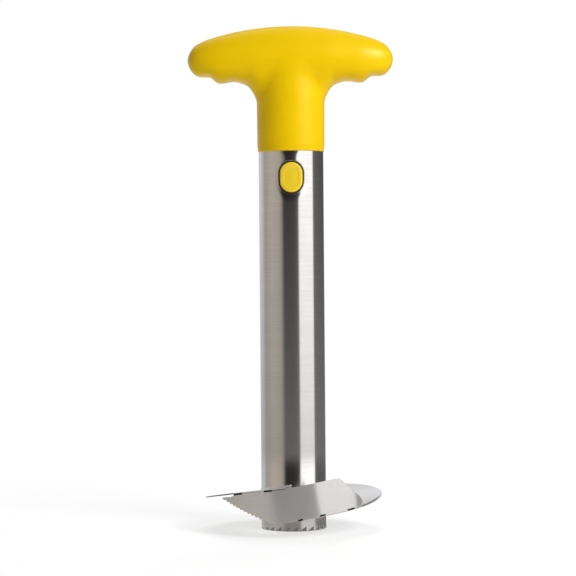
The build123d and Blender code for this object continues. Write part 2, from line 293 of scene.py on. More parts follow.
def open_edges(quads: Array, triangles: Array) -> int:
    """Counts directed edges with no edge of the other way: nil on a closed mesh.

    Args:
        quads: numbers of the points of each quad.
        triangles: numbers of the points of each triangle.

    Returns:
        The number of such edges.
    """
    sides = [
        faces[:, [k, (k + 1) % n]] for faces, n in ((quads, 4), (triangles, 3)) for k in range(n)
    ]
    edges = np.concatenate(sides).astype(np.int64)
    base = int(edges.max()) + 1
    there, back = edges @ [base, 1], edges @ [1, base]
    return len(there) - len(np.intersect1d(there, back))


def put(name: str, data: bpy.types.ID, place: Triple = (0.0, 0.0, 0.0)) -> Object:
    """Adds an object to the scene.

    Args:
        name: its name.
        data: its mesh, lamp or camera.
        place: where it stands, in metres.

    Returns:
        The new object.
    """
    thing = bpy.data.objects.new(name, data)
    thing.location = place
    bpy.context.scene.collection.objects.link(thing)
    return thing


def make_piece(
    name: str,
    surface: Surface,
    body: Body,
    finish: Material,
    stands_for: str,
    crease: float,
    painted_shade: Callable[[Array], Array] | None = None,
) -> Object:
    """Puts a welded surface into the scene as a smooth piece.

    Args:
        name: name of the piece.
        surface: its patches, in millimetres.
        body: body that it rides on.
        finish: its material.
        stands_for: node of the frame that it replaces.
        crease: angle in degrees above which an edge stays sharp.
        painted_shade: share of painted shade at each point, or None for a piece without it.

    Returns:
        The new object.
    """
    points, quads, triangles = surface.welded()
    mesh = bpy.data.meshes.new(name)
    mesh.from_pydata((points * MM).tolist(), [], quads.tolist() + triangles.tolist())
    # Share of painted shade at each point, which the steel finish reads.
    if painted_shade is not None:
        layer = mesh.attributes.new("painted_shade", "FLOAT", "POINT")
        layer.data.foreach_set("value", painted_shade(points).astype(np.float32))
    mesh.materials.append(finish)
    mesh.shade_smooth()
    mesh.set_sharp_from_angle(angle=math.radians(crease))
    piece = put(name, mesh)
    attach(piece, body.value)
    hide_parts(stands_for)
    size = 2 * len(quads) + len(triangles)
    LOG.info("%s: %d triangles, %d open edges", name, size, open_edges(quads, triangles))
    return piece


# ---------------------------------------------------------------- materials


@dataclass
class Nodes:
    """Node tree of a material or a world, with short calls to add and join nodes."""

    owner: Material | bpy.types.World
    ending: str = "OutputMaterial"

    def __post_init__(self) -> None:
        """Clears the tree."""
        self.owner.use_nodes = True
        self.tree = self.owner.node_tree
        self.tree.nodes.clear()

    def add(self, kind: str, inputs: dict | None = None, **settings: object) -> bpy.types.Node:
        """Adds a node.

        Args:
            kind: its type without the common beginning.
            inputs: socket to join, number or linear colour for inputs by name or place.
            settings: its own properties.

        Returns:
            The node.
        """
        node = self.tree.nodes.new("ShaderNode" + kind)
        for key, value in settings.items():
            setattr(node, key, value)
        for key, value in (inputs or {}).items():
            if isinstance(value, Socket):
                self.tree.links.new(value, node.inputs[key])
            else:
                constant = (*value, 1.0) if isinstance(value, tuple) else value
                node.inputs[key].default_value = constant
        return node

    def close(self, surface: Socket) -> Material | bpy.types.World:
        """Ends the tree with its surface and returns its owner."""
        self.add(self.ending, {"Surface": surface})
        return self.owner

    def place(self) -> Socket:
        """Place on the object, in its own metres."""
        return self.add("TexCoord").outputs["Object"]

    def parts(self, vector: Socket) -> bpy.types.bpy_prop_collection:
        """The three numbers of a vector."""
        return self.add("SeparateXYZ", {0: vector}).outputs

    def vector(self, *parts: Socket | float) -> Socket:
        """Vector of three numbers."""
        return self.add("CombineXYZ", dict(enumerate(parts))).outputs[0]

    def math(self, operation: str, *terms: Socket | float) -> Socket:
        """Arithmetic on sockets or numbers, by the operation's name."""
        return self.add("Math", dict(enumerate(terms)), operation=operation).outputs[0]

    def reach(self, x: Socket, y: Socket) -> Socket:
        """Distance from the axis: the root of x^2 + y^2."""
        squares = [self.math("MULTIPLY", side, side) for side in (x, y)]
        return self.math("SQRT", self.math("ADD", *squares))

    def heading(self, x: Socket, y: Socket) -> Socket:
        """Angle in radians round the axis, from the front (-Y) towards +X."""
        return self.math("ARCTAN2", x, self.math("MULTIPLY", y, -1.0))

    def weigh(self, first: Socket, share: float, second: Socket) -> Socket:
        """Weighted mean of two values."""
        rest = self.math("MULTIPLY", second, 1 - share)
        return self.math("ADD", self.math("MULTIPLY", first, share), rest)

    def noise(self, vector: Socket, size: float, detail: float) -> Socket:
        """Value of a noise pattern about 0.5, with waves of a size and some finer layers."""
        inputs = {"Vector": vector, "Scale": 1 / size, "Detail": detail}
        return self.add("TexNoise", inputs).outputs["Fac"]

    def remap(
        self,
        value: Socket,
        start: float,
        end: float,
        low: float = 0.0,
        high: float = 1.0,
        kind: str = "SMOOTHSTEP",
    ) -> Socket:
        """Runs from low to high while a value runs from start to end.

        Args:
            value: socket with the value.
            start: where the result is low.
            end: where it is high.
            low: first value of the result.
            high: last value of the result.
            kind: way that it runs.

        Returns:
            The result's socket.
        """
        inputs = {"Value": value, "From Min": start, "From Max": end, "To Min": low, "To Max": high}
        return self.add("MapRange", inputs, interpolation_type=kind).outputs["Result"]

    def turning(self, angle: Socket, start: float, end: float) -> Socket:
        """Rises from 0 to 1 between two angles in degrees, for an angle in radians."""
        return self.remap(angle, math.radians(start), math.radians(end))

    def spread(self, value: Socket, low: float, high: float) -> Socket:
        """Maps the middle of a noise value, 0.3 to 0.7, onto low to high."""
        return self.remap(value, 0.3, 0.7, low, high, "LINEAR")

    def mix(self, amount: Socket, first: Socket | Triple, second: Socket | Triple) -> Socket:
        """Mix of two colours, each a socket or a linear colour."""
        inputs = {"Factor": amount, "A": first, "B": second}
        return self.add("Mix", inputs, data_type="RGBA").outputs["Result"]

    def mix_shader(self, amount: Socket, first: Socket, second: Socket) -> Socket:
        """Mix of two shaders."""
        return self.add("MixShader", {0: amount, 1: first, 2: second}).outputs[0]

    def glow(self, colour: Socket | Triple) -> Socket:
        """Shader that shows a colour as it is."""
        return self.add("Emission", {"Color": colour, "Strength": 1.0}).outputs[0]

    def bump(self, height: Socket, strength: float, depth: float) -> Socket:
        """Normal from a height pattern of 0 to 1, with its depth in metres."""
        inputs = {"Strength": strength, "Distance": depth, "Height": height}
        return self.add("Bump", inputs).outputs["Normal"]

    def seen(self) -> Socket:
        """Tells rays from the camera and off or through shiny surfaces from others.

        Returns:
            Socket that is 1 for such rays, else 0.
        """
        rays = self.add("LightPath").outputs
        near = self.math("MAXIMUM", rays["Is Camera Ray"], rays["Is Glossy Ray"])
        return self.math("MAXIMUM", near, rays["Is Transmission Ray"])


@dataclass(frozen=True)
class BrushedSteel:
    """Stainless steel with fine scratches that run round the tube's axis.

    Streaks come from noise that changes slowly across x and y and fast along height plus
    radius, so they run round an upright wall and round a flat disc alike. A sheet that
    was rolled a little out of true leans its reflections by an angle about the axis that
    changes with height: by its lean at one level, and by its twist in degrees per metre.
    A sheet with painted shade is darkened and roughened where its mesh says so, as painted
    shade for slots, gaps and seams that lie in shade, and a worn one scatters a share of the
    light. A wall that a weld has drawn in tilts its reflections up there by its lift,
    between four levels.
    """

    name: str
    tint: Triple
    shade: Triple
    roughness: float
    stretch: float
    streak_size: float
    streak_depth: float
    streak_length: float = 25.0
    streak_share: float = 0.65
    streak_strength: float = 0.5
    cloud_size: float = 9.0
    lean: float = 0.0
    twist: float = 0.0
    lean_level: float = 29.2
    shows_painted_shade: bool = False
    painted_shade: Triple = (0.02, 0.018, 0.016)
    painted_shade_roughness: float = 0.75
    worn: float = 0.0
    lift: float = 0.0
    lift_levels: tuple[float, ...] = (9.0, 12.0, 26.0, 39.0)

    def normal(self, nodes: Nodes, z: Socket, fine: Socket) -> Socket:
        """Normal with its streaks, turned by the lean and tilted by the lift.

        Args:
            nodes: the material's tree.
            z: height of the place.
            fine: pattern of the streaks.

        Returns:
            The normal's socket.
        """
        normal = nodes.bump(fine, self.streak_strength, self.streak_depth * MM)
        if self.lean:
            twist = math.radians(self.twist)
            start = math.radians(self.lean) - twist * self.lean_level * MM
            inputs = {"Vector": normal, "Angle": nodes.math("MULTIPLY_ADD", z, twist, start)}
            normal = nodes.add("VectorRotate", inputs, rotation_type="Z_AXIS").outputs[0]
        if self.lift:
            low, full, fading, high = (level * MM for level in self.lift_levels)
            drawn = nodes.math("MULTIPLY", nodes.remap(z, low, full), nodes.remap(z, high, fading))
            raised = nodes.math("MULTIPLY", drawn, math.tan(math.radians(self.lift)))
            inputs = {0: normal, 1: nodes.vector(0.0, 0.0, raised)}
            normal = nodes.add("VectorMath", inputs, operation="ADD").outputs[0]
        return normal

    def make(self) -> Material:
        """Builds the material.

        Returns:
            The material.
        """
        nodes = Nodes(bpy.data.materials.new(self.name))
        place = nodes.place()
        x, y, z = nodes.parts(place)
        across = [nodes.math("MULTIPLY", side, 1 / (self.streak_length * MM)) for side in (x, y)]
        along = nodes.math("ADD", z, nodes.reach(x, y))
        along = nodes.math("MULTIPLY", along, 1 / (self.streak_size * MM))
        fine = nodes.noise(nodes.vector(*across, along), 1.0, 4.0)
        cloud = nodes.noise(place, self.cloud_size * MM, 4.0)
        both = nodes.weigh(fine, self.streak_share, cloud)
        colour = nodes.mix(nodes.spread(both, 0.0, 1.0), self.shade, self.tint)
        rough = nodes.spread(both, self.roughness * 1.12, self.roughness * 0.88)
        # Painted shade: the mesh's share darkens the colour and raises the roughness where slots,
        # gaps and seams lie in shade.
        if self.shows_painted_shade:
            painted_shade = nodes.add("Attribute", attribute_name="painted_shade").outputs["Fac"]
            colour = nodes.mix(painted_shade, colour, self.painted_shade)
            rough = nodes.math("MAXIMUM", rough, nodes.math("MULTIPLY", painted_shade, self.painted_shade_roughness))
        tangent = nodes.add("Tangent", direction_type="RADIAL", axis="Z").outputs[0]
        shader = nodes.add("BsdfPrincipled", {
            "Base Color": colour,
            "Roughness": rough,
            "Normal": self.normal(nodes, z, fine),
            "Tangent": tangent,
            "Metallic": 1.0 - self.worn,
            "Anisotropic": self.stretch,
            "Anisotropic Rotation": 0.25,
        })
        return nodes.close(shader.outputs[0])


@dataclass(frozen=True)
class MouldedPlastic:
    """Satin moulded plastic with a fine spark-eroded grain and faint flow clouds."""

    name: str
    tint: Triple
    shade: Triple
    roughness: float
    roughness_play: float = 0.05
    grain_size: float = 0.28
    grain_depth: float = 0.004
    grain_share: float = 0.6
    grain_strength: float = 0.35
    cloud_size: float = 14.0
    shine: float = 0.5
    gleam: Triple = WHITE

    def make(self) -> Material:
        """Builds the material.

        Returns:
            The material.
        """
        nodes = Nodes(bpy.data.materials.new(self.name))
        place = nodes.place()
        cloud = nodes.noise(place, self.cloud_size * MM, 3.0)
        grain = nodes.noise(place, self.grain_size * MM, 2.0)
        both = nodes.weigh(grain, self.grain_share, cloud)
        low, high = self.roughness - self.roughness_play, self.roughness + self.roughness_play
        shader = nodes.add("BsdfPrincipled", {
            "Base Color": nodes.mix(nodes.spread(cloud, 0.0, 1.0), self.shade, self.tint),
            "Roughness": nodes.spread(both, low, high),
            "Normal": nodes.bump(grain, self.grain_strength, self.grain_depth * MM),
            "IOR": 1.5,
            "Specular IOR Level": self.shine,
            "Specular Tint": self.gleam,
        })
        return nodes.close(shader.outputs[0])


STEEL: Triple = (0.66, 0.655, 0.645)
FINISHES: dict[Slot, BrushedSteel | MouldedPlastic] = {
    Slot.TUBE: BrushedSteel(
        "brushed_tube_steel", STEEL, (0.58, 0.572, 0.56), 0.16, 0.6, 0.22, 0.0012,
        shows_painted_shade=True, lift=8.0,
    ),
    Slot.BLADE: BrushedSteel(
        "brushed_blade_steel", (0.73, 0.724, 0.71), (0.65, 0.642, 0.63), 0.22, 0.9, 0.09, 0.0005,
        lean=-0.6, twist=210.0, shows_painted_shade=True, worn=0.27,
    ),
    Slot.HANDLE: MouldedPlastic(
        "satin_yellow_plastic", (0.95, 0.625, 0.0), (0.92, 0.6, 0.0), 0.36,
        shine=0.18, gleam=(1.0, 0.6, 0.4),
    ),
    Slot.BUTTON: MouldedPlastic(
        "smooth_yellow_plastic", (0.95, 0.67, 0.02), (0.92, 0.64, 0.012), 0.27,
        grain_depth=0.002, shine=0.8,
    ),
    Slot.LATCH: MouldedPlastic(
        "dark_latch_plastic", (0.022, 0.021, 0.02), (0.014, 0.013, 0.013), 0.42
    ),
    Slot.SPRING: BrushedSteel(
        "drawn_spring_wire", STEEL, (0.5, 0.49, 0.47), 0.25, 0.0, 0.1, 0.001
    ),
}


# ---------------------------------------------------------------- corer


@dataclass
class CoreTube:
    """Thin steel tube with a saw-toothed mouth and two oval windows with pressed-in edges."""

    finish: Material
    wall: float = 0.6
    tooth_count: int = 24
    tooth_depth: float = 2.3
    tip_width: float = 0.5
    tooth_rows: int = 7
    ground_height: float = 3.2
    ground_wall: float = 0.32
    window_half_width: float = 6.05
    window_half_height: float = 7.75
    window_level: float = 171.2
    dimple_depth: float = 0.25
    dimple_reach: float = 1.8
    dimple_turnover: float = 1.35
    swell_height: float = 0.2
    swell_reach: float = 3.5
    swell_levels: tuple[float, ...] = (177.6, 179.6, 181.8, 183.7)
    edge_rounding: float = 0.14
    edge_width: float = 0.22
    # Painted shade round the window edges, for the shaded gap round the button.
    painted_shade_share: float = 0.85
    painted_shade_width: float = 0.55
    patch_half_turn: float = 37.5
    patch_half_height: float = 12.0
    ring_shares: tuple[float, ...] = (
        1.0, 0.86, 0.72, 0.58, 0.46, 0.36, 0.28, 0.21, 0.15, 0.1, 0.06, 0.03, 0.012, 0.0,
    )

    def __post_init__(self) -> None:
        """Takes the tube's radius and length from the frame."""
        _, high = box_mm("core_tube")
        self.radius, self.length = float(high[0]), float(high[2])

    def across(self, azimuth: Array) -> Array:
        """Distance round the wall from the middle of the nearer window."""
        return self.radius * np.radians((azimuth % 180.0) - 90.0)

    def from_window(self, azimuth: Array, level: Array) -> Array:
        """Distance along the wall from the nearer window's outline.

        The window is a slot shape: its distance is that from its middle line less its
        half width, measured on the unrolled wall.

        Args:
            azimuth: azimuths of the places.
            level: their levels.

        Returns:
            The distances, negative inside the window.
        """
        half = self.radius * math.asin(self.window_half_width / self.radius)
        straight = self.window_half_height - self.window_half_width
        up = np.maximum(np.abs(level - self.window_level) - straight, 0)
        return np.hypot(self.across(azimuth), up) - half

    def dimple(self, azimuth: Array, level: Array) -> Array:
        """Depth that the wall is pressed in by: a bell round each window.

        It is full below the window and turns into a slight swelling above it, which
        runs on as a low upright swell up to the handle.

        Args:
            azimuth: azimuths of the places.
            level: their levels.

        Returns:
            The depths.
        """
        away = np.maximum(self.from_window(azimuth, level), 0)
        middle, reach = self.window_level, self.window_half_height
        share = 1 - self.dimple_turnover * ease(level, middle - 0.6 * reach, middle + reach)
        start, full, wane, end = self.swell_levels
        height = self.swell_height * ease(level, start, full) * (1 - ease(level, wane, end))
        pressed = self.dimple_depth * share * bell(away, self.dimple_reach)
        return pressed - height * bell(self.across(azimuth), self.swell_reach)

    def outer(self, azimuth: Array, level: Array) -> Array:
        """Outer radius: the wall with its dimples and the rounded lips of its windows."""
        away = np.maximum(self.from_window(azimuth, level), 0)
        lip = self.edge_rounding * fade(away, self.edge_width) ** 2
        return self.radius - self.dimple(azimuth, level) - lip

    def inner(self, azimuth: Array, level: Array) -> Array:
        """Inner radius: one wall less, with the mouth ground thin as a cone."""
        thinner = (self.wall - self.ground_wall) * fade(level, self.ground_height)
        return self.radius - self.dimple(azimuth, level) - self.wall + thinner

    def painted_shade(self, points: Array) -> Array:
        """Share of painted shade: on the cut edges of the windows, where the gap round the button
        lies in shade.
        """
        away = self.from_window(azimuths_of(points), points[:, 2])
        return self.painted_shade_share * fade(away, self.painted_shade_width)

    def walls(self, azimuth: Array, level: Array) -> list[Array]:
        """Points of the outer and of the inner wall at azimuths and levels."""
        place = np.broadcast_arrays(azimuth, level)
        return [round_point(place[0], wall(*place), place[1]) for wall in (self.outer, self.inner)]

    def both_walls(
        self, surface: Surface, azimuth: Array, level: Array, keep: Array | None = None
    ) -> None:
        """Adds a patch of the outer wall and the same patch of the inner wall.

        Args:
            surface: gathers the patches.
            azimuth: azimuths of the grid.
            level: levels of the grid.
            keep: which steps between columns get faces, or None for all.
        """
        for points, flip in zip(self.walls(azimuth, level), (False, True)):
            surface.patch(points, flip, keep)

    def edge(
        self,
        surface: Surface,
        azimuth: Array,
        level: Array,
        flip: bool = False,
        keep: Array | None = None,
    ) -> None:
        """Adds the strip between the two walls along a line.

        Args:
            surface: gathers the patches.
            azimuth: azimuths along the line.
            level: levels along the line.
            flip: turns the faces over.
            keep: which steps get faces, or None for all.
        """
        surface.patch(np.stack(self.walls(azimuth, level)), flip, keep)

    def tooth_columns(self) -> tuple[Array, Array]:
        """Columns of the toothed mouth, with two at each steep face.

        A tooth has a short flat tip and rises in a straight line to the next one's foot.

        Returns:
            Azimuths of the columns and the level of the mouth at each.
        """
        pitch = TURN / self.tooth_count
        tip = math.degrees(self.tip_width / self.radius)
        offsets = np.concatenate([[0.0], tip + (pitch - tip) * np.arange(12) / 11])
        rise = self.tooth_depth * np.clip((offsets - tip) / (pitch - tip), 0, 1)
        starts = -90.0 - pitch / 2 + pitch * np.arange(self.tooth_count + 1)
        azimuth = (starts[:, None] + offsets).reshape(-1)
        level = np.tile(rise, self.tooth_count + 1)
        keep = azimuth <= starts[0] + TURN + 1e-6
        return azimuth[keep], level[keep]

    def window(self, surface: Surface, columns: Array, rows: Array, middle: float) -> None:
        """Adds rings between a window's outline and the frame of wall round it.

        Each ring is a straight blend between the frame's points and the points of the
        outline in the same directions, closer together towards the window.

        Args:
            surface: gathers the patches.
            columns: azimuths of the frame's columns.
            rows: levels of the frame's rows.
            middle: azimuth of the window's middle.
        """
        right, left = (np.full(len(rows) - 1, columns[end]) for end in (-1, 0))
        azimuth = np.concatenate([columns, right, columns[-2::-1], left])
        low, high = np.full(len(columns), rows[0]), np.full(len(columns) - 1, rows[-1])
        level = np.concatenate([low, rows[1:], high, rows[-2::-1]])
        angle = np.arctan2(level - self.window_level, self.radius * np.radians(azimuth - middle))
        reach = slot_reach(angle, self.window_half_width, self.window_half_height)
        turn = np.degrees(np.arcsin(reach * np.cos(angle) / self.radius))
        hole = np.stack([middle + turn, self.window_level + reach * np.sin(angle)], axis=1)
        outline = np.stack([azimuth, level], axis=1)
        rings = hole + np.array(self.ring_shares)[:, None, None] * (outline - hole)
        self.both_walls(surface, rings[..., 0], rings[..., 1])
        self.edge(surface, hole[:, 0], hole[:, 1])

    def build(self) -> Object:
        """Builds the tube and puts it in the scene.

        Returns:
            The new piece.
        """
        surface = Surface()
        azimuth, mouth = self.tooth_columns()
        share = np.linspace(0, 1, self.tooth_rows)[:, None]
        sloping = np.diff(azimuth) > 1e-6
        teeth = mouth + share * (self.tooth_depth - mouth)
        self.both_walls(surface, azimuth[None], teeth, keep=sloping)
        self.edge(surface, azimuth, mouth, flip=True, keep=sloping)
        for column in np.flatnonzero(~sloping) + 1:
            self.edge(surface, azimuth[column], teeth[:, column])
        _, first = np.unique(np.round(azimuth, 5), return_index=True)
        plain = azimuth[first]
        low, high = (self.window_level + side * self.patch_half_height for side in (-1, 1))
        ground = np.linspace(self.tooth_depth, self.ground_height + 0.8, 4)
        below = np.concatenate([ground[:-1], np.linspace(ground[-1], low, 44)])
        rows = np.linspace(low, high, 31)
        self.both_walls(surface, plain[None], below[:, None])
        self.both_walls(surface, plain[None], np.linspace(high, self.length, 3)[:, None])
        self.edge(surface, plain, self.length)
        within = plain[np.abs(plain - 90.0) <= self.patch_half_turn + 1e-4]
        between = plain[np.abs(plain) <= 90.0 - self.patch_half_turn + 1e-4]
        for turned in (0.0, 180.0):
            self.window(surface, within - turned, rows, 90.0 - turned)
        for turned in (0.0, 180.0):
            self.both_walls(surface, between[None] + turned, rows[:, None])
        return make_piece(
            "core_tube_steel", surface, Body.CORER, self.finish, "core_tube", 25.0,
            self.painted_shade,
        )


@dataclass
class SlicingDisc:
    """Split ring of sheet steel that climbs one turn, welded to the tube."""

    finish: Material
    tube_radius: float = 15.875
    thickness: float = 0.6
    leading_edge: float = 0.2
    low_level: float = 9.0
    rise: float = 15.2
    bevel_width: float = 1.1
    bevel_depth: float = 0.32
    bend_radius: float = 0.45
    weld_size: float = 0.75
    weld_ripples: float = 70.0
    start: float = -88.0
    end: float = 267.0
    ramp: float = 4.0
    stands: Pair = (-87.0, -43.7)
    hangs: Pair = (228.6, 265.0)
    upper_slots: tuple[Pair, ...] = ((-131.4, -124.5), (-109.1, -103.8))
    lower_slots: tuple[Pair, ...] = ((-87.4, -84.4), (-73.6, -69.8), (-54.0, -48.2))
    # Painted shade beside the slots and along the free leaf's edge, for the dark lines of shade
    # there.
    slot_shade_width: float = 0.25
    free_edge_shade_span: Pair = (150.0, 185.0)
    free_edge_shade_share: float = 0.8
    free_edge_shade_width: float = 1.2
    share_places: tuple[float, ...] = (-88.0, *range(-75, 256, 15), 267.0)
    tube_shares: tuple[float, ...] = (
        0.150, 0.178, 0.211, 0.247, 0.283, 0.308, 0.332, 0.344, 0.355, 0.361, 0.368, 0.405, 0.451,
        0.500, 0.539, 0.556, 0.566, 0.585, 0.609, 0.645, 0.684, 0.727, 0.770, 0.807, 0.836,
    )
    rim_shares: tuple[float, ...] = (
        -0.055, 0.065, 0.165, 0.260, 0.362, 0.456, 0.530, 0.570, 0.592, 0.579, 0.533, 0.480, 0.408,
        0.335, 0.289, 0.276, 0.293, 0.339, 0.411, 0.503, 0.612, 0.728, 0.838, 0.931, 1.000,
    )

    def __post_init__(self) -> None:
        """Takes the disc's radius from the frame."""
        low, _ = box_mm("slicing_disc")
        self.radius = float(-low[0])

    def share_level(self, share: Array) -> Array:
        """Level at a share of the disc's rise."""
        return self.low_level + self.rise * share

    def level(self, azimuth: Array, radius: Array | float) -> Array:
        """Level of the middle plane: straight from the tube to the rim along each radius.

        Args:
            azimuth: azimuths of the places.
            radius: their distances from the axis.

        Returns:
            The levels.
        """
        places = np.array(self.share_places)
        inner = smooth_line(places, np.array(self.tube_shares), azimuth)
        outer = smooth_line(places, np.array(self.rim_shares), azimuth)
        part = (radius - self.tube_radius) / (self.radius - self.tube_radius)
        return self.share_level(inner + part * (outer - inner))

    def rim_level(self, azimuth: Array) -> Array:
        """Level of the middle plane at the rim."""
        return self.level(azimuth, self.radius)

    def faces(self, azimuth: Array) -> tuple[Array, Array]:
        """Lower and upper face of the sheet.

        Both follow the middle plane at half the thickness. Near the tube each swells into
        a hollow weld bead. Near the free rim the upper face falls away as a ground bevel,
        and where the upright strip stands or hangs the corner is bent round instead.

        Args:
            azimuth: column azimuths.

        Returns:
            Points of the lower and the upper face, by column and place along the radius.
        """
        near = self.tube_radius - 0.05 + self.weld_size * np.array([0, 0.15, 0.35, 0.6, 1.0])
        far = self.radius - np.array([1.7, 1.1, 0.9, 0.6, 0.45, 0.3, 0.17, 0.07, 0.0])
        radius = np.concatenate([near, np.linspace(near[-1], far[0], 16)[1:-1], far])[None]
        column = azimuth[:, None]
        away = self.radius - radius
        grown = ease(column, self.start, self.start + self.ramp)
        half = 0.5 * (self.leading_edge + (self.thickness - self.leading_edge) * grown)
        bead = 0.8 * self.weld_size * fade(radius - near[0], self.weld_size) ** 2
        bead = bead * (0.7 + 0.3 * np.sin(np.radians(column) * self.weld_ripples))
        (stand, stood), (hang, hung) = self.stands, self.hangs
        stands = ease(column, stand - 1, stand) * (1 - ease(column, stood, stood + self.ramp))
        hangs = ease(column, hang - self.ramp, hang) * (1 - ease(column, hung, hung + 1))
        bevel = self.bevel_depth * fade(away, self.bevel_width) * (1 - stands) * (1 - hangs)
        inset = np.clip(self.bend_radius - away, 0, self.bend_radius)
        bend = self.bend_radius - np.sqrt(self.bend_radius**2 - inset**2)
        middle = self.level(column, radius)
        lower = middle - half - bead + np.minimum(bend * stands, 1.6 * half)
        upper = middle + half + 1.8 * bead - bevel - np.minimum(bend * hangs, 1.6 * half)
        return round_point(column, radius, lower), round_point(column, radius, upper)

    def painted_shade(self, points: Array) -> Array:
        """Share of painted shade: on the rim beside each slot, and some on the free leaf's edge,
        for the dark lines of shade there.

        Args:
            points: points of the mesh.

        Returns:
            The share at each point.
        """
        turn = azimuths_of(points)
        azimuth = np.where(turn < self.start, turn + TURN, turn)
        away = self.radius - np.hypot(points[:, 0], points[:, 1])
        above = points[:, 2] > self.rim_level(azimuth)
        low = above & in_spans(azimuth, self.lower_slots)
        high = ~above & in_spans(azimuth - TURN, self.upper_slots)
        slots = (low | high) & (away < self.slot_shade_width)
        edge = (azimuth < self.hangs[0] - 0.5) & (away < self.free_edge_shade_width)
        return np.maximum(slots, self.free_edge_shade_share * ease(azimuth, *self.free_edge_shade_span) * edge)

    def build(self) -> Object:
        """Builds the disc and puts it in the scene.

        Returns:
            The new piece.
        """
        azimuth = np.unique(np.concatenate([
            np.linspace(self.start, self.start + self.ramp, 9),
            np.arange(self.start + self.ramp + 1, self.end, 1.0),
            beside(self.lower_slots, 0.1),
            beside(self.upper_slots, 0.1) + TURN,
            [self.end],
        ]))
        azimuth = azimuth[(azimuth >= self.start) & (azimuth <= self.end)]
        surface = Surface()
        surface.sheet(*self.faces(azimuth))
        return make_piece(
            "slicing_disc_steel", surface, Body.CORER, self.finish, "slicing_disc",
            30.0, self.painted_shade,
        )


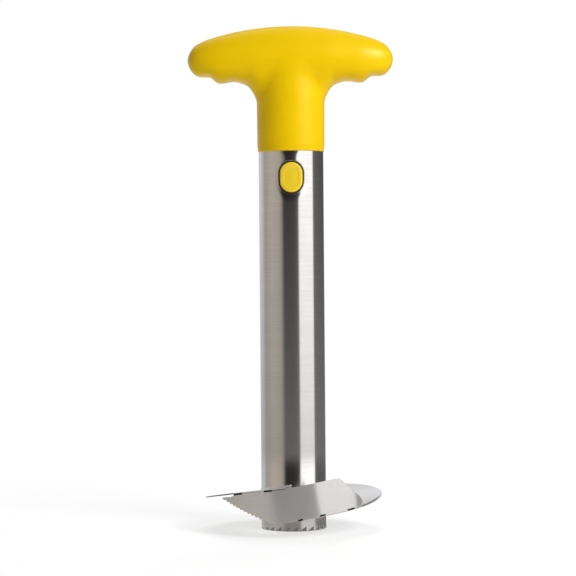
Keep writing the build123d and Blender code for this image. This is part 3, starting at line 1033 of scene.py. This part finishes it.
@dataclass
class RimBlade:
    """Upright serrated strip, folded up from the low leaf and hung from the high one."""

    finish: Material
    disc: SlicingDisc
    thickness: float = 0.6
    slot_depth: float = 0.7
    slot_recess: float = 0.42
    seam_height: float = 0.36
    # Painted shade along the hung seam, where the gap under the high leaf lies in shade.
    seam_shade_shares: Pair = (0.45, 0.9)
    sink: float = 0.12
    serration_count: int = 12
    serration_radius: float = 1.05
    serration_inset: float = 0.45
    ground_width: float = 2.4
    ground_edge: float = 0.14
    corner: float = 0.1
    corner_width: float = 0.12
    curl_depth: float = 0.45
    curl_start: float = -46.5
    column_step: float = 0.12
    hangs: Pair = (-131.4, -95.0)
    upper_shares: tuple[Pair, ...] = (
        (-141.8, 0.597), (-134.2, 0.640), (-132.6, 0.668), (-131.4, 0.722),
    )
    top_shares: tuple[Pair, ...] = (
        (-95.0, 0.960), (-89.0, 1.026), (-78.6, 1.112), (-68.8, 1.197), (-61.0, 1.248),
        (-59.4, 1.210), (-56.0, 1.086), (-50.7, 0.901), (-46.9, 0.743), (-42.3, 0.586),
        (-40.3, 0.493),
    )
    lower_shares: tuple[Pair, ...] = (
        (-141.8, 0.540), (-104.9, -0.128), (-95.6, -0.096), (-89.4, -0.055), (-87.0, -0.032),
    )
    tail_shares: tuple[Pair, ...] = ((-43.7, 0.315), (-41.4, 0.340), (-40.3, 0.410))

    def slotted(self, azimuth: Array, from_top: Array, from_bottom: Array) -> Array:
        """Whether points are in the slots along the two folds.

        Args:
            azimuth: azimuth of each point.
            from_top: its distance below the top edge.
            from_bottom: its distance above the bottom edge.

        Returns:
            The mask at each point.
        """
        high = in_spans(azimuth, self.disc.upper_slots) & (from_top < self.slot_depth)
        low = in_spans(azimuth, self.disc.lower_slots) & (from_bottom < self.slot_depth)
        return high | low

    def painted_shade(self, points: Array) -> Array:
        """Share of painted shade: full in the slots and some along the hung seam, where shade falls
        in the gaps.

        Args:
            points: points of the mesh.

        Returns:
            The share at each point.
        """
        azimuth, level = azimuths_of(points), points[:, 2]
        inward = self.disc.radius - np.hypot(points[:, 0], points[:, 1])
        from_top, from_bottom = self.top(azimuth) - level, level - self.bottom(azimuth)
        slots = self.slotted(azimuth, from_top, from_bottom) & (inward > self.disc.slot_shade_width)
        joint = in_spans(azimuth, [self.hangs]) & (from_top < self.seam_height)
        beyond = azimuth > self.disc.upper_slots[1][1]
        return np.maximum(slots, joint * np.where(beyond, self.seam_shade_shares[1], self.seam_shade_shares[0]))

    def edge_level(
        self,
        azimuth: Array,
        joined: Pair,
        before: Sequence[Pair],
        after: Sequence[Pair],
        fold: Array,
    ) -> Array:
        """Level of an edge: free, then along a fold, then free again.

        Args:
            azimuth: places along the strip.
            joined: where the fold starts and ends.
            before: table of the free edge before it, in shares of the disc's rise.
            after: table of the free edge after it.
            fold: levels along the fold.

        Returns:
            Levels of the edge.
        """
        early, late = broken_line(before, azimuth), broken_line(after, azimuth)
        free = self.disc.share_level(np.where(azimuth < joined[0], early, late))
        return np.where((azimuth >= joined[0]) & (azimuth <= joined[1]), fold, free)

    def top(self, azimuth: Array) -> Array:
        """Level of the top edge: free, under the high leaf, then free again."""
        fold = self.disc.rim_level(azimuth + TURN) - self.disc.thickness / 2 + self.sink
        return self.edge_level(azimuth, self.hangs, self.upper_shares, self.top_shares, fold)

    def bottom(self, azimuth: Array) -> Array:
        """Level of the bottom edge: serrated, then on the low leaf, then the free tail.

        A serration bites a circle out of the edge, so the edge is the higher of the plain
        line and the circle's upper half.

        Args:
            azimuth: places along the strip.

        Returns:
            Levels of the edge.
        """
        disc = self.disc
        fold = disc.rim_level(azimuth) + disc.thickness / 2 - self.sink
        edge = self.edge_level(azimuth, disc.stands, self.lower_shares, self.tail_shares, fold)
        first, last = self.lower_shares[0][0], self.lower_shares[1][0]
        places = np.linspace(first, last, self.serration_count + 2)[1:-1]
        centres = disc.share_level(broken_line(self.lower_shares, places)) - self.serration_inset
        along = disc.radius * np.radians(azimuth[:, None] - places)
        inside = np.clip(self.serration_radius**2 - along**2, 0, None)
        bites = np.where(inside > 0, centres + np.sqrt(inside), -np.inf).max(axis=1)
        return np.maximum(edge, bites)

    def build(self) -> Object:
        """Builds the strip and puts it in the scene.

        Returns:
            The new piece.
        """
        disc, first, last = self.disc, self.upper_shares[0][0], self.top_shares[-1][0]
        tables = self.upper_shares + self.top_shares + self.lower_shares + self.tail_shares
        azimuth = np.unique(np.round(np.concatenate([
            np.arange(first, last, self.column_step),
            [place for place, _ in tables],
            beside([*disc.upper_slots, *disc.lower_slots, self.hangs, disc.stands], 0.02),
            [last],
        ]), 4))
        azimuth = azimuth[(azimuth >= first) & (azimuth <= last)]
        low, high = self.bottom(azimuth)[:, None], self.top(azimuth)[:, None]
        lips = [0.0, 0.05, 0.12, 0.33, 0.38, 0.52, self.slot_depth - 0.02, self.slot_depth + 0.02]
        reach = high - low
        margin = np.array(lips) * np.minimum(1, 0.4 * reach / lips[-1])
        inner = margin[:, -1:] + np.linspace(0, 1, 9)[1:-1] * (reach - 2 * margin[:, -1:])
        above = np.concatenate([margin, inner, reach - margin[:, ::-1]], axis=1)
        level, column = low + above, azimuth[:, None]
        below = high - level
        turn = self.lower_shares[1][0]
        ground = fade(above, self.ground_width) * (1 - ease(column, turn - 1.0, turn + 1.0))
        thick = self.thickness - (self.thickness - self.ground_edge) * ground
        chamfer = self.corner * fade(np.minimum(above, below), self.corner_width)
        slim = np.minimum(chamfer, 0.3 * thick)
        curled = np.clip((column - self.curl_start) / (last - self.curl_start), 0, 1) ** 2
        radius = disc.radius - self.curl_depth * curled
        recess = self.slot_recess * self.slotted(column, below, above)
        surface = Surface()
        surface.sheet(
            round_point(column, radius - slim - recess, level),
            round_point(column, radius - thick + slim, level),
        )
        return make_piece(
            "rim_blade_steel", surface, Body.CORER, self.finish, "rim_blade", 30.0,
            self.painted_shade,
        )


# ---------------------------------------------------------------- handle


@dataclass
class HandleForm:
    """Outer form of the T-handle as a field that is negative inside.

    The bar's sections are ovals |y/side|^p + |z/height|^p = 1 whose half sizes change
    along the bar, and the neck is a round post with a slight draft. The two run into each
    other through a smooth minimum. The rows give, for shares of the neck's radius or of
    the way from there to the bar's end, the shares of the rise, the drop, the half depth
    and the hull's drop, and the fullness of the lower corners.
    """

    half_width: float = 50.1
    end_play: float = 0.06
    widest_share: float = 0.7329
    root_share: float = 0.4153
    fullness: float = 2.23
    cut_power: float = 5.0
    foot_radius: float = 16.4
    draft: float = 0.2
    draft_height: float = 30.0
    shoulder: float = 38.0
    closing: float = 0.02975
    crown: float = 49.0
    foot_rounding: float = 0.5
    lip_height: float = 2.4
    lip_depth: float = 0.2
    blend: float = 3.2
    groove_depth: float = 0.1
    groove_width: float = 0.3
    root_rows: tuple[tuple[float, ...], ...] = (
        (0.00, 1.000, 0.880, 1.000, 0.880, 0.42),
        (0.55, 0.982, 0.900, 0.992, 0.900, 0.42),
    )
    arm_rows: tuple[tuple[float, ...], ...] = (
        (0.000, 0.937, 0.923, 0.965, 0.923, 0.46),
        (0.087, 0.913, 0.723, 0.950, 0.765, 0.50),
        (0.191, 0.878, 0.592, 0.920, 0.690, 0.56),
        (0.340, 0.820, 0.533, 0.880, 0.645, 0.60),
        (0.460, 0.762, 0.562, 0.850, 0.622, 0.62),
        (0.528, 0.728, 0.574, 0.828, 0.608, 0.62),
        (0.585, 0.695, 0.544, 0.803, 0.590, 0.62),
        (0.645, 0.660, 0.456, 0.770, 0.560, 0.62),
        (0.728, 0.607, 0.408, 0.715, 0.512, 0.62),
        (0.818, 0.524, 0.408, 0.635, 0.455, 0.62),
        (0.893, 0.433, 0.362, 0.540, 0.388, 0.62),
        (0.952, 0.290, 0.256, 0.410, 0.264, 0.62),
        (0.985, 0.165, 0.150, 0.260, 0.150, 0.60),
        (1.000, 0.060, 0.058, 0.130, 0.058, 0.62),
    )

    def __post_init__(self) -> None:
        """Takes the handle's reach and levels from the frame."""
        low, high = box_mm("handle_front_shell")
        self.foot, self.top, self.half_depth = float(low[2]), float(high[2]), float(-low[1])
        height = self.top - self.foot
        self.widest = self.foot + self.widest_share * height
        self.rise = self.top - self.widest
        self.drop = self.widest - self.foot - self.root_share * height
        neck = self.foot_radius + self.draft
        root, arm = np.array(self.root_rows), np.array(self.arm_rows)
        root[:, 0] *= neck
        arm[:, 0] = neck + arm[:, 0] * (self.half_width - neck)
        rows = np.concatenate([root, arm])
        self.knots = np.concatenate([rows[:0:-1] * [-1, 1, 1, 1, 1, 1], rows])

    def half_sizes(self, x: Array) -> list[Array]:
        """Half sizes of the bar at places along it.

        Args:
            x: the places.

        Returns:
            Squares of the rise, the drop, the half depth and the hull's drop.
        """
        sizes = (self.rise, self.drop, self.half_depth, self.drop)
        squares = (
            smooth_line(self.knots[:, 0], (self.knots[:, k] * size) ** 2, x)
            for k, size in enumerate(sizes, start=1)
        )
        return [np.maximum(square, 0.03) for square in squares]

    def bar(self, x: Array, y: Array, z: Array) -> Array:
        """Field of the bar: distance from the outline along the ray from its middle.

        The lower corners are as full as the table says: an oval's corner passes through
        the halfway share m of both half sizes, where 2 m^p = 1. Below the middle the oval
        has the drop of a smooth hull H, and a steep term (1 - (D/H)^p) (z/D)^q cuts it
        off at the scalloped drop D.

        Args:
            x: places along the bar.
            y: places across it.
            z: heights.

        Returns:
            The field.
        """
        rise, drop, side, hull = self.half_sizes(x)
        up = z - self.widest
        height = np.where(up > 0, rise, hull)
        halfway = (4 + 3 * np.interp(np.abs(x), self.knots[:, 0], self.knots[:, 5])) / 8
        fullness = np.where(up > 0, self.fullness, math.log(0.5) / np.log(halfway))
        power = fullness / 2
        left = 1 - np.minimum(drop / hull, 1) ** power
        cut = np.where(up > 0, 0, left) * (up * up / drop) ** self.cut_power
        ratio = ((y * y / side) ** power + (up * up / height) ** power + cut) ** (1 / fullness)
        across = np.sqrt(y * y + up * up) * (1 - 1 / np.maximum(ratio, 1e-6))
        return np.maximum(across, np.abs(x) - self.half_width - self.end_play)

    def neck(self, x: Array, y: Array, z: Array) -> Array:
        """Field of the neck: a drafted round post with a shallow lip and a rounded foot.

        Args:
            x: places along the bar.
            y: places across it.
            z: heights.

        Returns:
            The field.
        """
        up = z - self.foot
        lip = 1 - ease(up, self.lip_height - 0.4, self.lip_height + 0.4)
        radius = self.foot_radius + self.draft * np.clip(up / self.draft_height, 0, 1)
        radius = radius - self.lip_depth * lip
        radius = radius - self.closing * np.maximum(up - self.shoulder, 0) ** 2
        r = self.foot_rounding
        wall, floor = np.hypot(x, y) - radius + r, r - up
        post = np.hypot(np.maximum(wall, 0), np.maximum(floor, 0)) - r
        post = post + np.minimum(np.maximum(wall, floor), 0)
        return np.maximum(post, up - self.crown)

    def __call__(self, points: Array) -> Array:
        """Smooth minimum of bar and neck, with the parting groove.

        The smooth minimum of a and b is min(a, b) - h^2 k / 4, where h is
        max(k - |a - b|, 0) / k.

        Args:
            points: where the field is read.

        Returns:
            The field.
        """
        x, y, z = points[..., 0], points[..., 1], points[..., 2]
        bar, neck = self.bar(x, y, z), self.neck(x, y, z)
        near = np.maximum(self.blend - np.abs(bar - neck), 0) / self.blend
        whole = np.minimum(bar, neck) - near**2 * self.blend / 4
        return whole + self.groove_depth * bell(y, self.groove_width)


def shorter(array: Array, axis: int, drop_first: bool) -> Array:
    """Array without its first or its last layer.

    Args:
        array: any array.
        axis: axis that becomes shorter.
        drop_first: leaves out the first layer, else the last.

    Returns:
        The shorter array.
    """
    kept = [slice(None)] * array.ndim
    kept[axis] = slice(1, None) if drop_first else slice(None, -1)
    return array[tuple(kept)]


@dataclass
class HandleShell:
    """One half of the handle, in front of or behind the bar's plane."""

    finish: Material
    form: HandleForm
    side: Side
    cell: float = 0.56
    seam: float = 0.003
    slope_step: float = 0.02
    newton_steps: int = 5
    longest_step: float = 0.3

    def gradient(self, points: Array) -> Array:
        """Slope of the field by central differences.

        Args:
            points: where it is read.

        Returns:
            The slope at each point.
        """
        step = self.slope_step
        parts = [
            (self.form(points + step * axis) - self.form(points - step * axis)) / (2 * step)
            for axis in np.eye(3)
        ]
        return np.stack(parts, axis=-1)

    def settled(self, points: Array, free: Array) -> Array:
        """Moves points onto the surface by Newton steps.

        Each step takes off the field times its slope over the slope squared, along the
        free directions only.

        Args:
            points: start points near the surface.
            free: 1 for each direction a point may move in, else 0.

        Returns:
            Points on the surface.
        """
        for _ in range(self.newton_steps):
            slope = self.gradient(points) * free
            steep = np.maximum((slope**2).sum(axis=1), 1e-4)
            step = self.form(points)[:, None] * slope / steep[:, None]
            points = points - np.clip(step, -self.longest_step, self.longest_step)
        return points

    def crossings(self, nodes: Array, value: Array) -> tuple[Array, Array]:
        """Gathers for each cell the points where the surface crosses its edges.

        Args:
            nodes: points of the grid.
            value: field at each of them.

        Returns:
            Sum of the points and their number, by cell.
        """
        shape = tuple(n - 1 for n in value.shape)
        total, hits = np.zeros((*shape, 3)), np.zeros(shape)
        for axis in range(3):
            a, b = shorter(value, axis, False), shorter(value, axis, True)
            start, end = shorter(nodes, axis, False), shorter(nodes, axis, True)
            crossed = (a < 0) != (b < 0)
            share = np.where(crossed, a / np.where(a == b, 1, a - b), 0)
            point = (start + share[..., None] * (end - start)) * crossed[..., None]
            one, other = (k for k in range(3) if k != axis)
            for first, second in product((False, True), repeat=2):
                total += shorter(shorter(point, one, first), other, second)
                hits += shorter(shorter(crossed, one, first), other, second)
        return total, hits

    def quads(self, inside: Array, index: Array) -> Array:
        """Quads between the four cells round each grid edge that the surface crosses.

        Args:
            inside: whether each node of the grid is inside.
            index: number of each cell's point.

        Returns:
            Numbers of the four points of each quad.
        """
        found = []
        for axis in range(3):
            inner = [slice(1, -1)] * 3
            inner[axis] = slice(None)
            there = inside[tuple(inner)]
            low, high = shorter(there, axis, False), shorter(there, axis, True)
            places = np.argwhere(low != high)
            ring = []
            for corner in ((0, 0), (1, 0), (1, 1), (0, 1)):
                shift = np.zeros(3, int)
                shift[[(axis + 1) % 3, (axis + 2) % 3]] = corner
                ring.append(index[tuple((places + shift).T)])
            faces = np.stack(ring, axis=1)
            entering = ~low[tuple(places.T)]
            faces[entering] = faces[entering][:, ::-1]
            found.append(faces)
        return np.concatenate(found)

    def build(self) -> Object:
        """Builds the half and puts it in the scene.

        The field is read at the nodes of a grid. Each cell that the surface crosses gets
        one point at the mean of the crossings on its edges, and each grid edge that
        crosses it gets a quad between its four cells. The last layer of cells lies on the
        parting plane, so its points close the half with a flat face.

        Returns:
            The new piece.
        """
        form, h = self.form, self.cell
        x = np.arange(-(form.half_width + 1.0), form.half_width + 1.0 + h, h)
        layers = int((form.half_depth + 1.5) / h)
        y = -self.seam + h / 2 - h * np.arange(layers, -1, -1)
        z = np.arange(form.foot - 1.5 * h, form.top + 1.5 * h, h)
        nodes = np.stack(np.meshgrid(x, y, z, indexing="ij"), axis=-1)
        value = form(nodes)
        value[:, -1] = h
        inside = value < 0
        total, hits = self.crossings(nodes, value)
        active = hits > 0
        index = np.full(hits.shape, -1)
        index[active] = np.arange(active.sum())
        points = total[active] / hits[active][:, None]
        parting, flat = np.zeros(hits.shape, bool), np.zeros(hits.shape, bool)
        near = inside[:, -2]
        parting[:, -1] = True
        flat[:, -1] = near[:-1, :-1] & near[1:, :-1] & near[:-1, 1:] & near[1:, 1:]
        free = np.ones_like(points)
        points[parting[active], 1] = -self.seam
        free[parting[active], 1] = 0.0
        moving = ~flat[active]
        points[moving] = self.settled(points[moving], free[moving])
        surface = Surface([self.side.turned(points)], [self.quads(inside, index)], len(points))
        name = "handle_" + self.side.named("shell")
        return make_piece(
            name + "_plastic", surface, Body.HANDLE, self.finish, name, 50.0
        )


# ---------------------------------------------------------------- latch


@dataclass
class PressButton:
    """Oval press button: dished face with a raised rim, flange and spring sleeve."""

    finish: Material
    side: Side
    half_width: float = 5.45
    half_height: float = 7.3
    level: float = 171.2
    face_radius: float = 16.875
    dish_depth: float = 0.45
    dish_share: float = 0.86
    dish_floor: float = 0.5
    rounding: float = 0.5
    wall_depths: Pair = (14.0, 12.5)
    flange_front: float = 10.995
    flange_back: float = 9.395
    flange_overlap: float = 1.6
    sleeve_radius: float = 5.0
    pocket_radius: float = 3.4
    sleeve_end: float = 4.05
    pocket_end: float = 13.925

    def loop(self, angle: Array, reach: Array | float, depth: Array | float) -> Array:
        """Ring of points about the button's middle line, at depths from the tube's axis."""
        across, up = reach * np.cos(angle), reach * np.sin(angle)
        return np.stack([across, -np.broadcast_to(depth, across.shape), self.level + up], axis=-1)

    def face_depth(self, angle: Array, reach: Array, share: float) -> Array:
        """Depth of a cylinder round the tube's axis, less the dish inside the raised rim."""
        bulge = np.sqrt(self.face_radius**2 - (reach * np.cos(angle)) ** 2)
        return bulge - self.dish_depth * ease(np.array(share), self.dish_share, self.dish_floor)

    def build(self) -> Object:
        """Builds the button and puts it in the scene.

        Its skin is a row of rings: over the dished face, round its edge by a quarter
        turn, down the wall, out and in again over the flange, along the sleeve, and back
        up the spring's pocket.

        Returns:
            The new piece.
        """
        angle = np.linspace(0, 2 * math.pi, 145)
        outline = slot_reach(angle, self.half_width, self.half_height)
        edge = self.rounding / self.half_width
        rows = [(share, 0.0) for share in (*np.linspace(0, 0.8, 17), *np.linspace(0.82, 0.86, 3))]
        for turn in np.linspace(0, math.pi / 2, 8):
            rows.append((1 - edge + edge * math.sin(turn), self.rounding * (1 - math.cos(turn))))
        rings = [
            (share * outline, self.face_depth(angle, share * outline, share) - fall)
            for share, fall in rows
        ]
        wide = outline + self.flange_overlap
        rings += [(outline, depth) for depth in (*self.wall_depths, self.flange_front)]
        rings += [
            (wide, self.flange_front),
            (wide, self.flange_back),
            (self.sleeve_radius, self.flange_back),
            (self.sleeve_radius, self.sleeve_end),
            (self.pocket_radius, self.sleeve_end),
            (self.pocket_radius, self.pocket_end),
            (0.0, self.pocket_end),
        ]
        skin = np.stack([self.loop(angle, reach, depth) for reach, depth in rings])
        surface = Surface()
        surface.patch(self.side.turned(skin))
        name = self.side.named("button")
        body = Body.FRONT_BUTTON if self.side is Side.FRONT else Body.BACK_BUTTON
        return make_piece(name + "_plastic", surface, body, self.finish, name, 45.0)


@dataclass
class CoilSpring:
    """Compression spring of drawn wire between the latch's web and a button."""

    finish: Material
    side: Side
    wire: float = 0.6
    radius: float = 2.7
    turns: float = 5.0
    level: float = 171.2
    start: float = 1.5
    length: float = 12.3
    press: float = 2.5
    end_closing: float = 0.035

    def build(self) -> Object:
        """Builds the coil and puts it in the scene.

        The centreline is a helix whose end turns lie close, and the wire's round section
        is carried along it, square to its direction.

        Returns:
            The new piece.
        """
        along = np.linspace(0, 1, int(40 * self.turns) + 1)
        climb = along - self.end_closing * np.sin(2 * math.pi * along)
        turn = 2 * math.pi * self.turns * along
        depth = self.start + self.wire / 2 + (self.length - self.wire) * climb
        outward = np.stack([np.cos(turn), np.zeros_like(turn), np.sin(turn)], axis=-1)
        middle = np.stack([np.zeros_like(turn), -depth, np.full_like(turn, self.level)], axis=-1)
        line = middle + self.radius * outward
        tangent = np.gradient(line, axis=0)
        tangent /= np.linalg.norm(tangent, axis=1, keepdims=True)
        sideways = np.cross(tangent, outward)
        around = np.linspace(0, 2 * math.pi, 13)[None, :, None]
        ring = np.cos(around) * outward[:, None] + np.sin(around) * sideways[:, None]
        tube = line[:, None] + self.wire / 2 * ring
        first, last = (np.broadcast_to(line[end], tube[:1].shape) for end in (0, -1))
        surface = Surface()
        surface.patch(self.side.turned(np.concatenate([first, tube, last])))
        name = self.side.named("spring")
        piece = make_piece(
            name + "_wire", surface, Body.HANDLE, self.finish, name, 60.0
        )
        joint = self.side.named("button_press")
        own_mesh(piece)
        return piece


@dataclass
class Latch:
    """The two dark moulded pieces of the latch, which keep the frame's own meshes."""

    finish: Material
    nodes: tuple[str, ...] = ("latch_housing", "latch_cap")

    def dress(self) -> None:
        """Gives both pieces the dark plastic finish."""
        for name in self.nodes:
            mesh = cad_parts[name].data
            mesh.materials.clear()
            mesh.materials.append(self.finish)
            LOG.info("%s: dressed", name)


# ---------------------------------------------------------------- studio


@dataclass(frozen=True)
class Lamp:
    """Soft square lamp that faces the object; a shiny one is seen in reflections."""

    name: str
    place: Triple
    size: float
    power: float
    shiny: bool = False
    aim: Triple = (0.0, 0.0, 0.15)

    def make(self) -> Object:
        """Adds the lamp to the scene.

        Returns:
            The new lamp.
        """
        data = bpy.data.lights.new(self.name, "AREA")
        data.shape, data.size, data.energy = "SQUARE", self.size, self.power
        lamp = put(self.name, data, self.place)
        aim = Vector(self.aim) - Vector(self.place)
        lamp.rotation_euler = aim.to_track_quat("-Z", "Y").to_euler()
        lamp.visible_glossy = self.shiny
        return lamp


@dataclass
class Studio:
    """Floor, reflected surroundings, lamps, world and camera."""

    focal_pixels: float = 2100.0
    image_pixels: float = 576.0
    sensor_width: float = 36.0
    camera_place: Triple = (-0.0020, -1.029, 0.13368)
    horizon_drop: float = 33.0
    roll: float = 0.466
    daylight: float = 0.26
    floor_radius: float = 4.0
    floor_level: float = -0.0001
    # Painted shade of the floor as reflections see it close by.
    reflected_floor_shade: Triple = (0.58, 0.53, 0.48)
    dome_radius: float = 8.0
    dome_level: float = 0.1
    lamps: tuple[Lamp, ...] = (
        Lamp("key_lamp", (0.48, -0.51, 0.54), 0.35, 4.4),
        Lamp("fill_lamp", (-0.6, -0.85, 0.55), 0.6, 0.4),
        Lamp("top_lamp", (0.0, 0.45, 0.75), 0.5, 3.0),
    )
    gleam_lamp: Lamp = Lamp("gleam_lamp", (0.58, -0.46, 0.54), 0.35, 15.0, shiny=True)
    stripes: tuple[tuple[float, Triple], ...] = (
        (-180.0, (0.25, 0.25, 0.26)),
        (-169.0, (0.25, 0.25, 0.26)),
        (-160.0, (0.82, 0.82, 0.88)),
        (-128.0, (0.78, 0.78, 0.83)),
        (-110.0, (0.52, 0.47, 0.41)),
        (-98.0, (0.57, 0.505, 0.43)),
        (-75.0, (0.67, 0.60, 0.525)),
        (-54.0, (0.62, 0.55, 0.48)),
        (-42.0, (0.55, 0.49, 0.42)),
        (-37.0, (0.42, 0.36, 0.32)),
        (-27.0, (0.025, 0.022, 0.02)),
        (0.0, (0.035, 0.03, 0.03)),
        (14.0, (0.055, 0.055, 0.055)),
        (23.0, (0.14, 0.135, 0.13)),
        (27.0, (1.70, 1.68, 1.66)),
        (80.0, (1.72, 1.70, 1.68)),
        (83.5, (0.17, 0.165, 0.165)),
        (120.0, (0.12, 0.12, 0.12)),
        (180.0, (0.07, 0.07, 0.07)),
    )

    def camera(self) -> None:
        """Places the camera where the photograph was taken from."""
        data = bpy.data.cameras.new("photo_camera")
        data.sensor_width = self.sensor_width
        data.lens = self.sensor_width * self.focal_pixels / self.image_pixels
        data.clip_start, data.clip_end = 0.05, 20.0
        pitch, roll = math.atan(self.horizon_drop / self.focal_pixels), math.radians(self.roll)
        forward = Vector((0, math.cos(pitch), -math.sin(pitch)))
        level_up = Vector((0, math.sin(pitch), math.cos(pitch)))
        right = Vector((1, 0, 0)) * math.cos(roll) - level_up * math.sin(roll)
        up = level_up * math.cos(roll) + Vector((1, 0, 0)) * math.sin(roll)
        turn = Matrix((right, up, -forward)).transposed().to_4x4()
        camera = put("photo_camera", data)
        camera.matrix_world = Matrix.Translation(self.camera_place) @ turn
        bpy.context.scene.camera = camera

    def world(self) -> None:
        """Makes a white world for the eye and reflections, and a softer one for lighting."""
        world = bpy.data.worlds.new("studio_world")
        bpy.context.scene.world = world
        nodes = Nodes(world, "OutputWorld")
        soft, white = (
            nodes.add("Background", {"Color": WHITE, "Strength": strength}).outputs[0]
            for strength in (self.daylight, 1.0)
        )
        nodes.close(nodes.mix_shader(nodes.seen(), soft, white))

    def floor(self) -> None:
        """Adds the pale floor, which shows white with a faint shadow.

        The camera sees mostly even white, with a share of the lit surface that carries
        the shadow and fades with the distance from the object. Reflections see it close by
        as a glow of painted shade, with painted shade and painted light that change with the
        direction, look through it farther off, and from below it is clear.
        """
        nodes = Nodes(bpy.data.materials.new("pale_floor"))
        seen, place = nodes.seen(), nodes.place()
        away = nodes.add("VectorMath", {0: place}, operation="LENGTH").outputs["Value"]
        pale = nodes.mix(seen, (0.85, 0.85, 0.85), (1.2, 1.2, 1.2))
        lit = nodes.add("BsdfDiffuse", {"Color": pale}).outputs[0]
        even = nodes.remap(away, 0.05, 0.35, 0.66, 1.0)
        outside = nodes.remap(away, 0.0148, 0.0166, 0.14, 1.0)
        share = nodes.math("MULTIPLY", seen, nodes.math("MULTIPLY", even, outside))
        viewed = nodes.mix_shader(share, lit, nodes.glow(WHITE))
        # Painted shade for reflections of the floor near the object: darker, lighter and darker
        # again by direction, and the even painted shade beyond 5 cm.
        x, y, _ = nodes.parts(place)
        turn = nodes.heading(x, y)
        colour = nodes.mix(nodes.turning(turn, -34, -22), self.reflected_floor_shade, (0.43, 0.38, 0.34))
        colour = nodes.mix(nodes.turning(turn, 17, 27), colour, (0.75, 0.73, 0.70))
        colour = nodes.mix(nodes.turning(turn, 62, 72), colour, (0.26, 0.25, 0.25))
        colour = nodes.mix(nodes.remap(away, 0.05, 0.06), colour, self.reflected_floor_shade)
        clear = nodes.add("BsdfTransparent").outputs[0]
        far = nodes.remap(away, 0.08, 0.13, 0.35, 1.0)
        mirrored = nodes.mix_shader(far, nodes.glow(colour), clear)
        glossy = nodes.add("LightPath").outputs["Is Glossy Ray"]
        upper = nodes.mix_shader(glossy, viewed, mirrored)
        below = nodes.add("NewGeometry").outputs["Backfacing"]
        rim = round_point(np.linspace(0, TURN, 97)[:-1], self.floor_radius, 0.0)
        mesh = bpy.data.meshes.new("floor")
        mesh.from_pydata(rim.tolist(), [], [list(range(len(rim)))])
        mesh.materials.append(nodes.close(nodes.mix_shader(below, upper, clear)))
        floor = put("floor", mesh, (0.0, 0.0, self.floor_level))

    def cards(self) -> Material:
        """Light and dark cards by direction.

        The colour changes with the direction round the object, and runs to white above,
        to pale floor below and to a white sweep behind.

        Returns:
            The cards' material.
        """
        nodes = Nodes(bpy.data.materials.new("studio_cards"))
        x, y, z = nodes.parts(nodes.place())
        turn = nodes.heading(x, y)
        share = nodes.math("ADD", nodes.math("DIVIDE", turn, 2 * math.pi), 0.5)
        ramp = nodes.add("ValToRGB", {0: share})
        (_, first), *inner, (_, last) = self.stripes
        marks = ramp.color_ramp.elements
        marks[0].color, marks[1].color = (*first, 1.0), (*last, 1.0)
        for azimuth, tone in inner:
            marks.new((azimuth + TURN / 2) / TURN).color = (*tone, 1.0)
        climb = nodes.math("ARCTAN2", z, nodes.reach(x, y))
        behind = nodes.turning(nodes.math("ABSOLUTE", turn), 158, 170)
        haze = nodes.remap(climb, math.radians(3), math.radians(-10), 0.0, 0.72, "LINEAR")
        colour = ramp.outputs["Color"]
        for amount, tone in (
            (nodes.turning(climb, 75, 82), (1.15, 1.16, 1.2)),
            (haze, (0.345, 0.34, 0.335)),
            (nodes.turning(climb, -14, -26), (0.8, 0.8, 0.8)),
            (nodes.math("MULTIPLY", behind, nodes.turning(climb, 28, 22)), (0.85, 0.86, 0.89)),
        ):
            colour = nodes.mix(amount, colour, tone)
        return nodes.close(nodes.glow(colour))

    def surround(self) -> None:
        """Adds a dome of light and dark cards that only reflections see."""
        azimuth = np.linspace(0, TURN, 73)[None]
        height = np.radians(np.linspace(-90, 90, 37))[:, None]
        reach = self.dome_radius
        dome = Surface()
        dome.patch(round_point(azimuth, reach * np.cos(height), reach * np.sin(height)))
        points, quads, triangles = dome.welded()
        mesh = bpy.data.meshes.new("card_dome")
        mesh.from_pydata(points.tolist(), [], quads.tolist() + triangles.tolist())
        mesh.materials.append(self.cards())
        cards = put("card_dome", mesh, (0.0, 0.0, self.dome_level))
        for ray in ("camera", "diffuse", "transmission", "volume_scatter", "shadow"):
            setattr(cards, "visible_" + ray, False)

    def gleam(self) -> None:
        """Adds the lamp whose light falls only on the handle, and only as a highlight."""
        lamp = self.gleam_lamp.make()
        lamp.visible_diffuse = False
        receivers = bpy.data.collections.new("gleam_receivers")
        for side in Side:
            name = "handle_" + side.named("shell_plastic")
            receivers.objects.link(bpy.data.objects[name])
        lamp.light_linking.receiver_collection = receivers

    def build(self) -> None:
        """Builds the whole studio."""
        bpy.context.scene.view_settings.view_transform = "Standard"
        self.world()
        self.floor()
        self.surround()
        for lamp in self.lamps:
            lamp.make()
        self.gleam()
        self.camera()
        LOG.info("studio: ready")


def main() -> None:
    """Builds every piece in order."""
    logging.basicConfig(level=logging.INFO, format="%(message)s")
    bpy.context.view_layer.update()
    finishes = {slot: finish.make() for slot, finish in FINISHES.items()}
    CoreTube(finishes[Slot.TUBE]).build()
    disc = SlicingDisc(finishes[Slot.BLADE])
    disc.build()
    RimBlade(finishes[Slot.BLADE], disc).build()
    form = HandleForm()
    for side in Side:
        HandleShell(finishes[Slot.HANDLE], form, side).build()
        PressButton(finishes[Slot.BUTTON], side).build()
        CoilSpring(finishes[Slot.SPRING], side).build()
    Latch(finishes[Slot.LATCH]).dress()
    Studio().build()


if __name__ == "__main__":
    main()
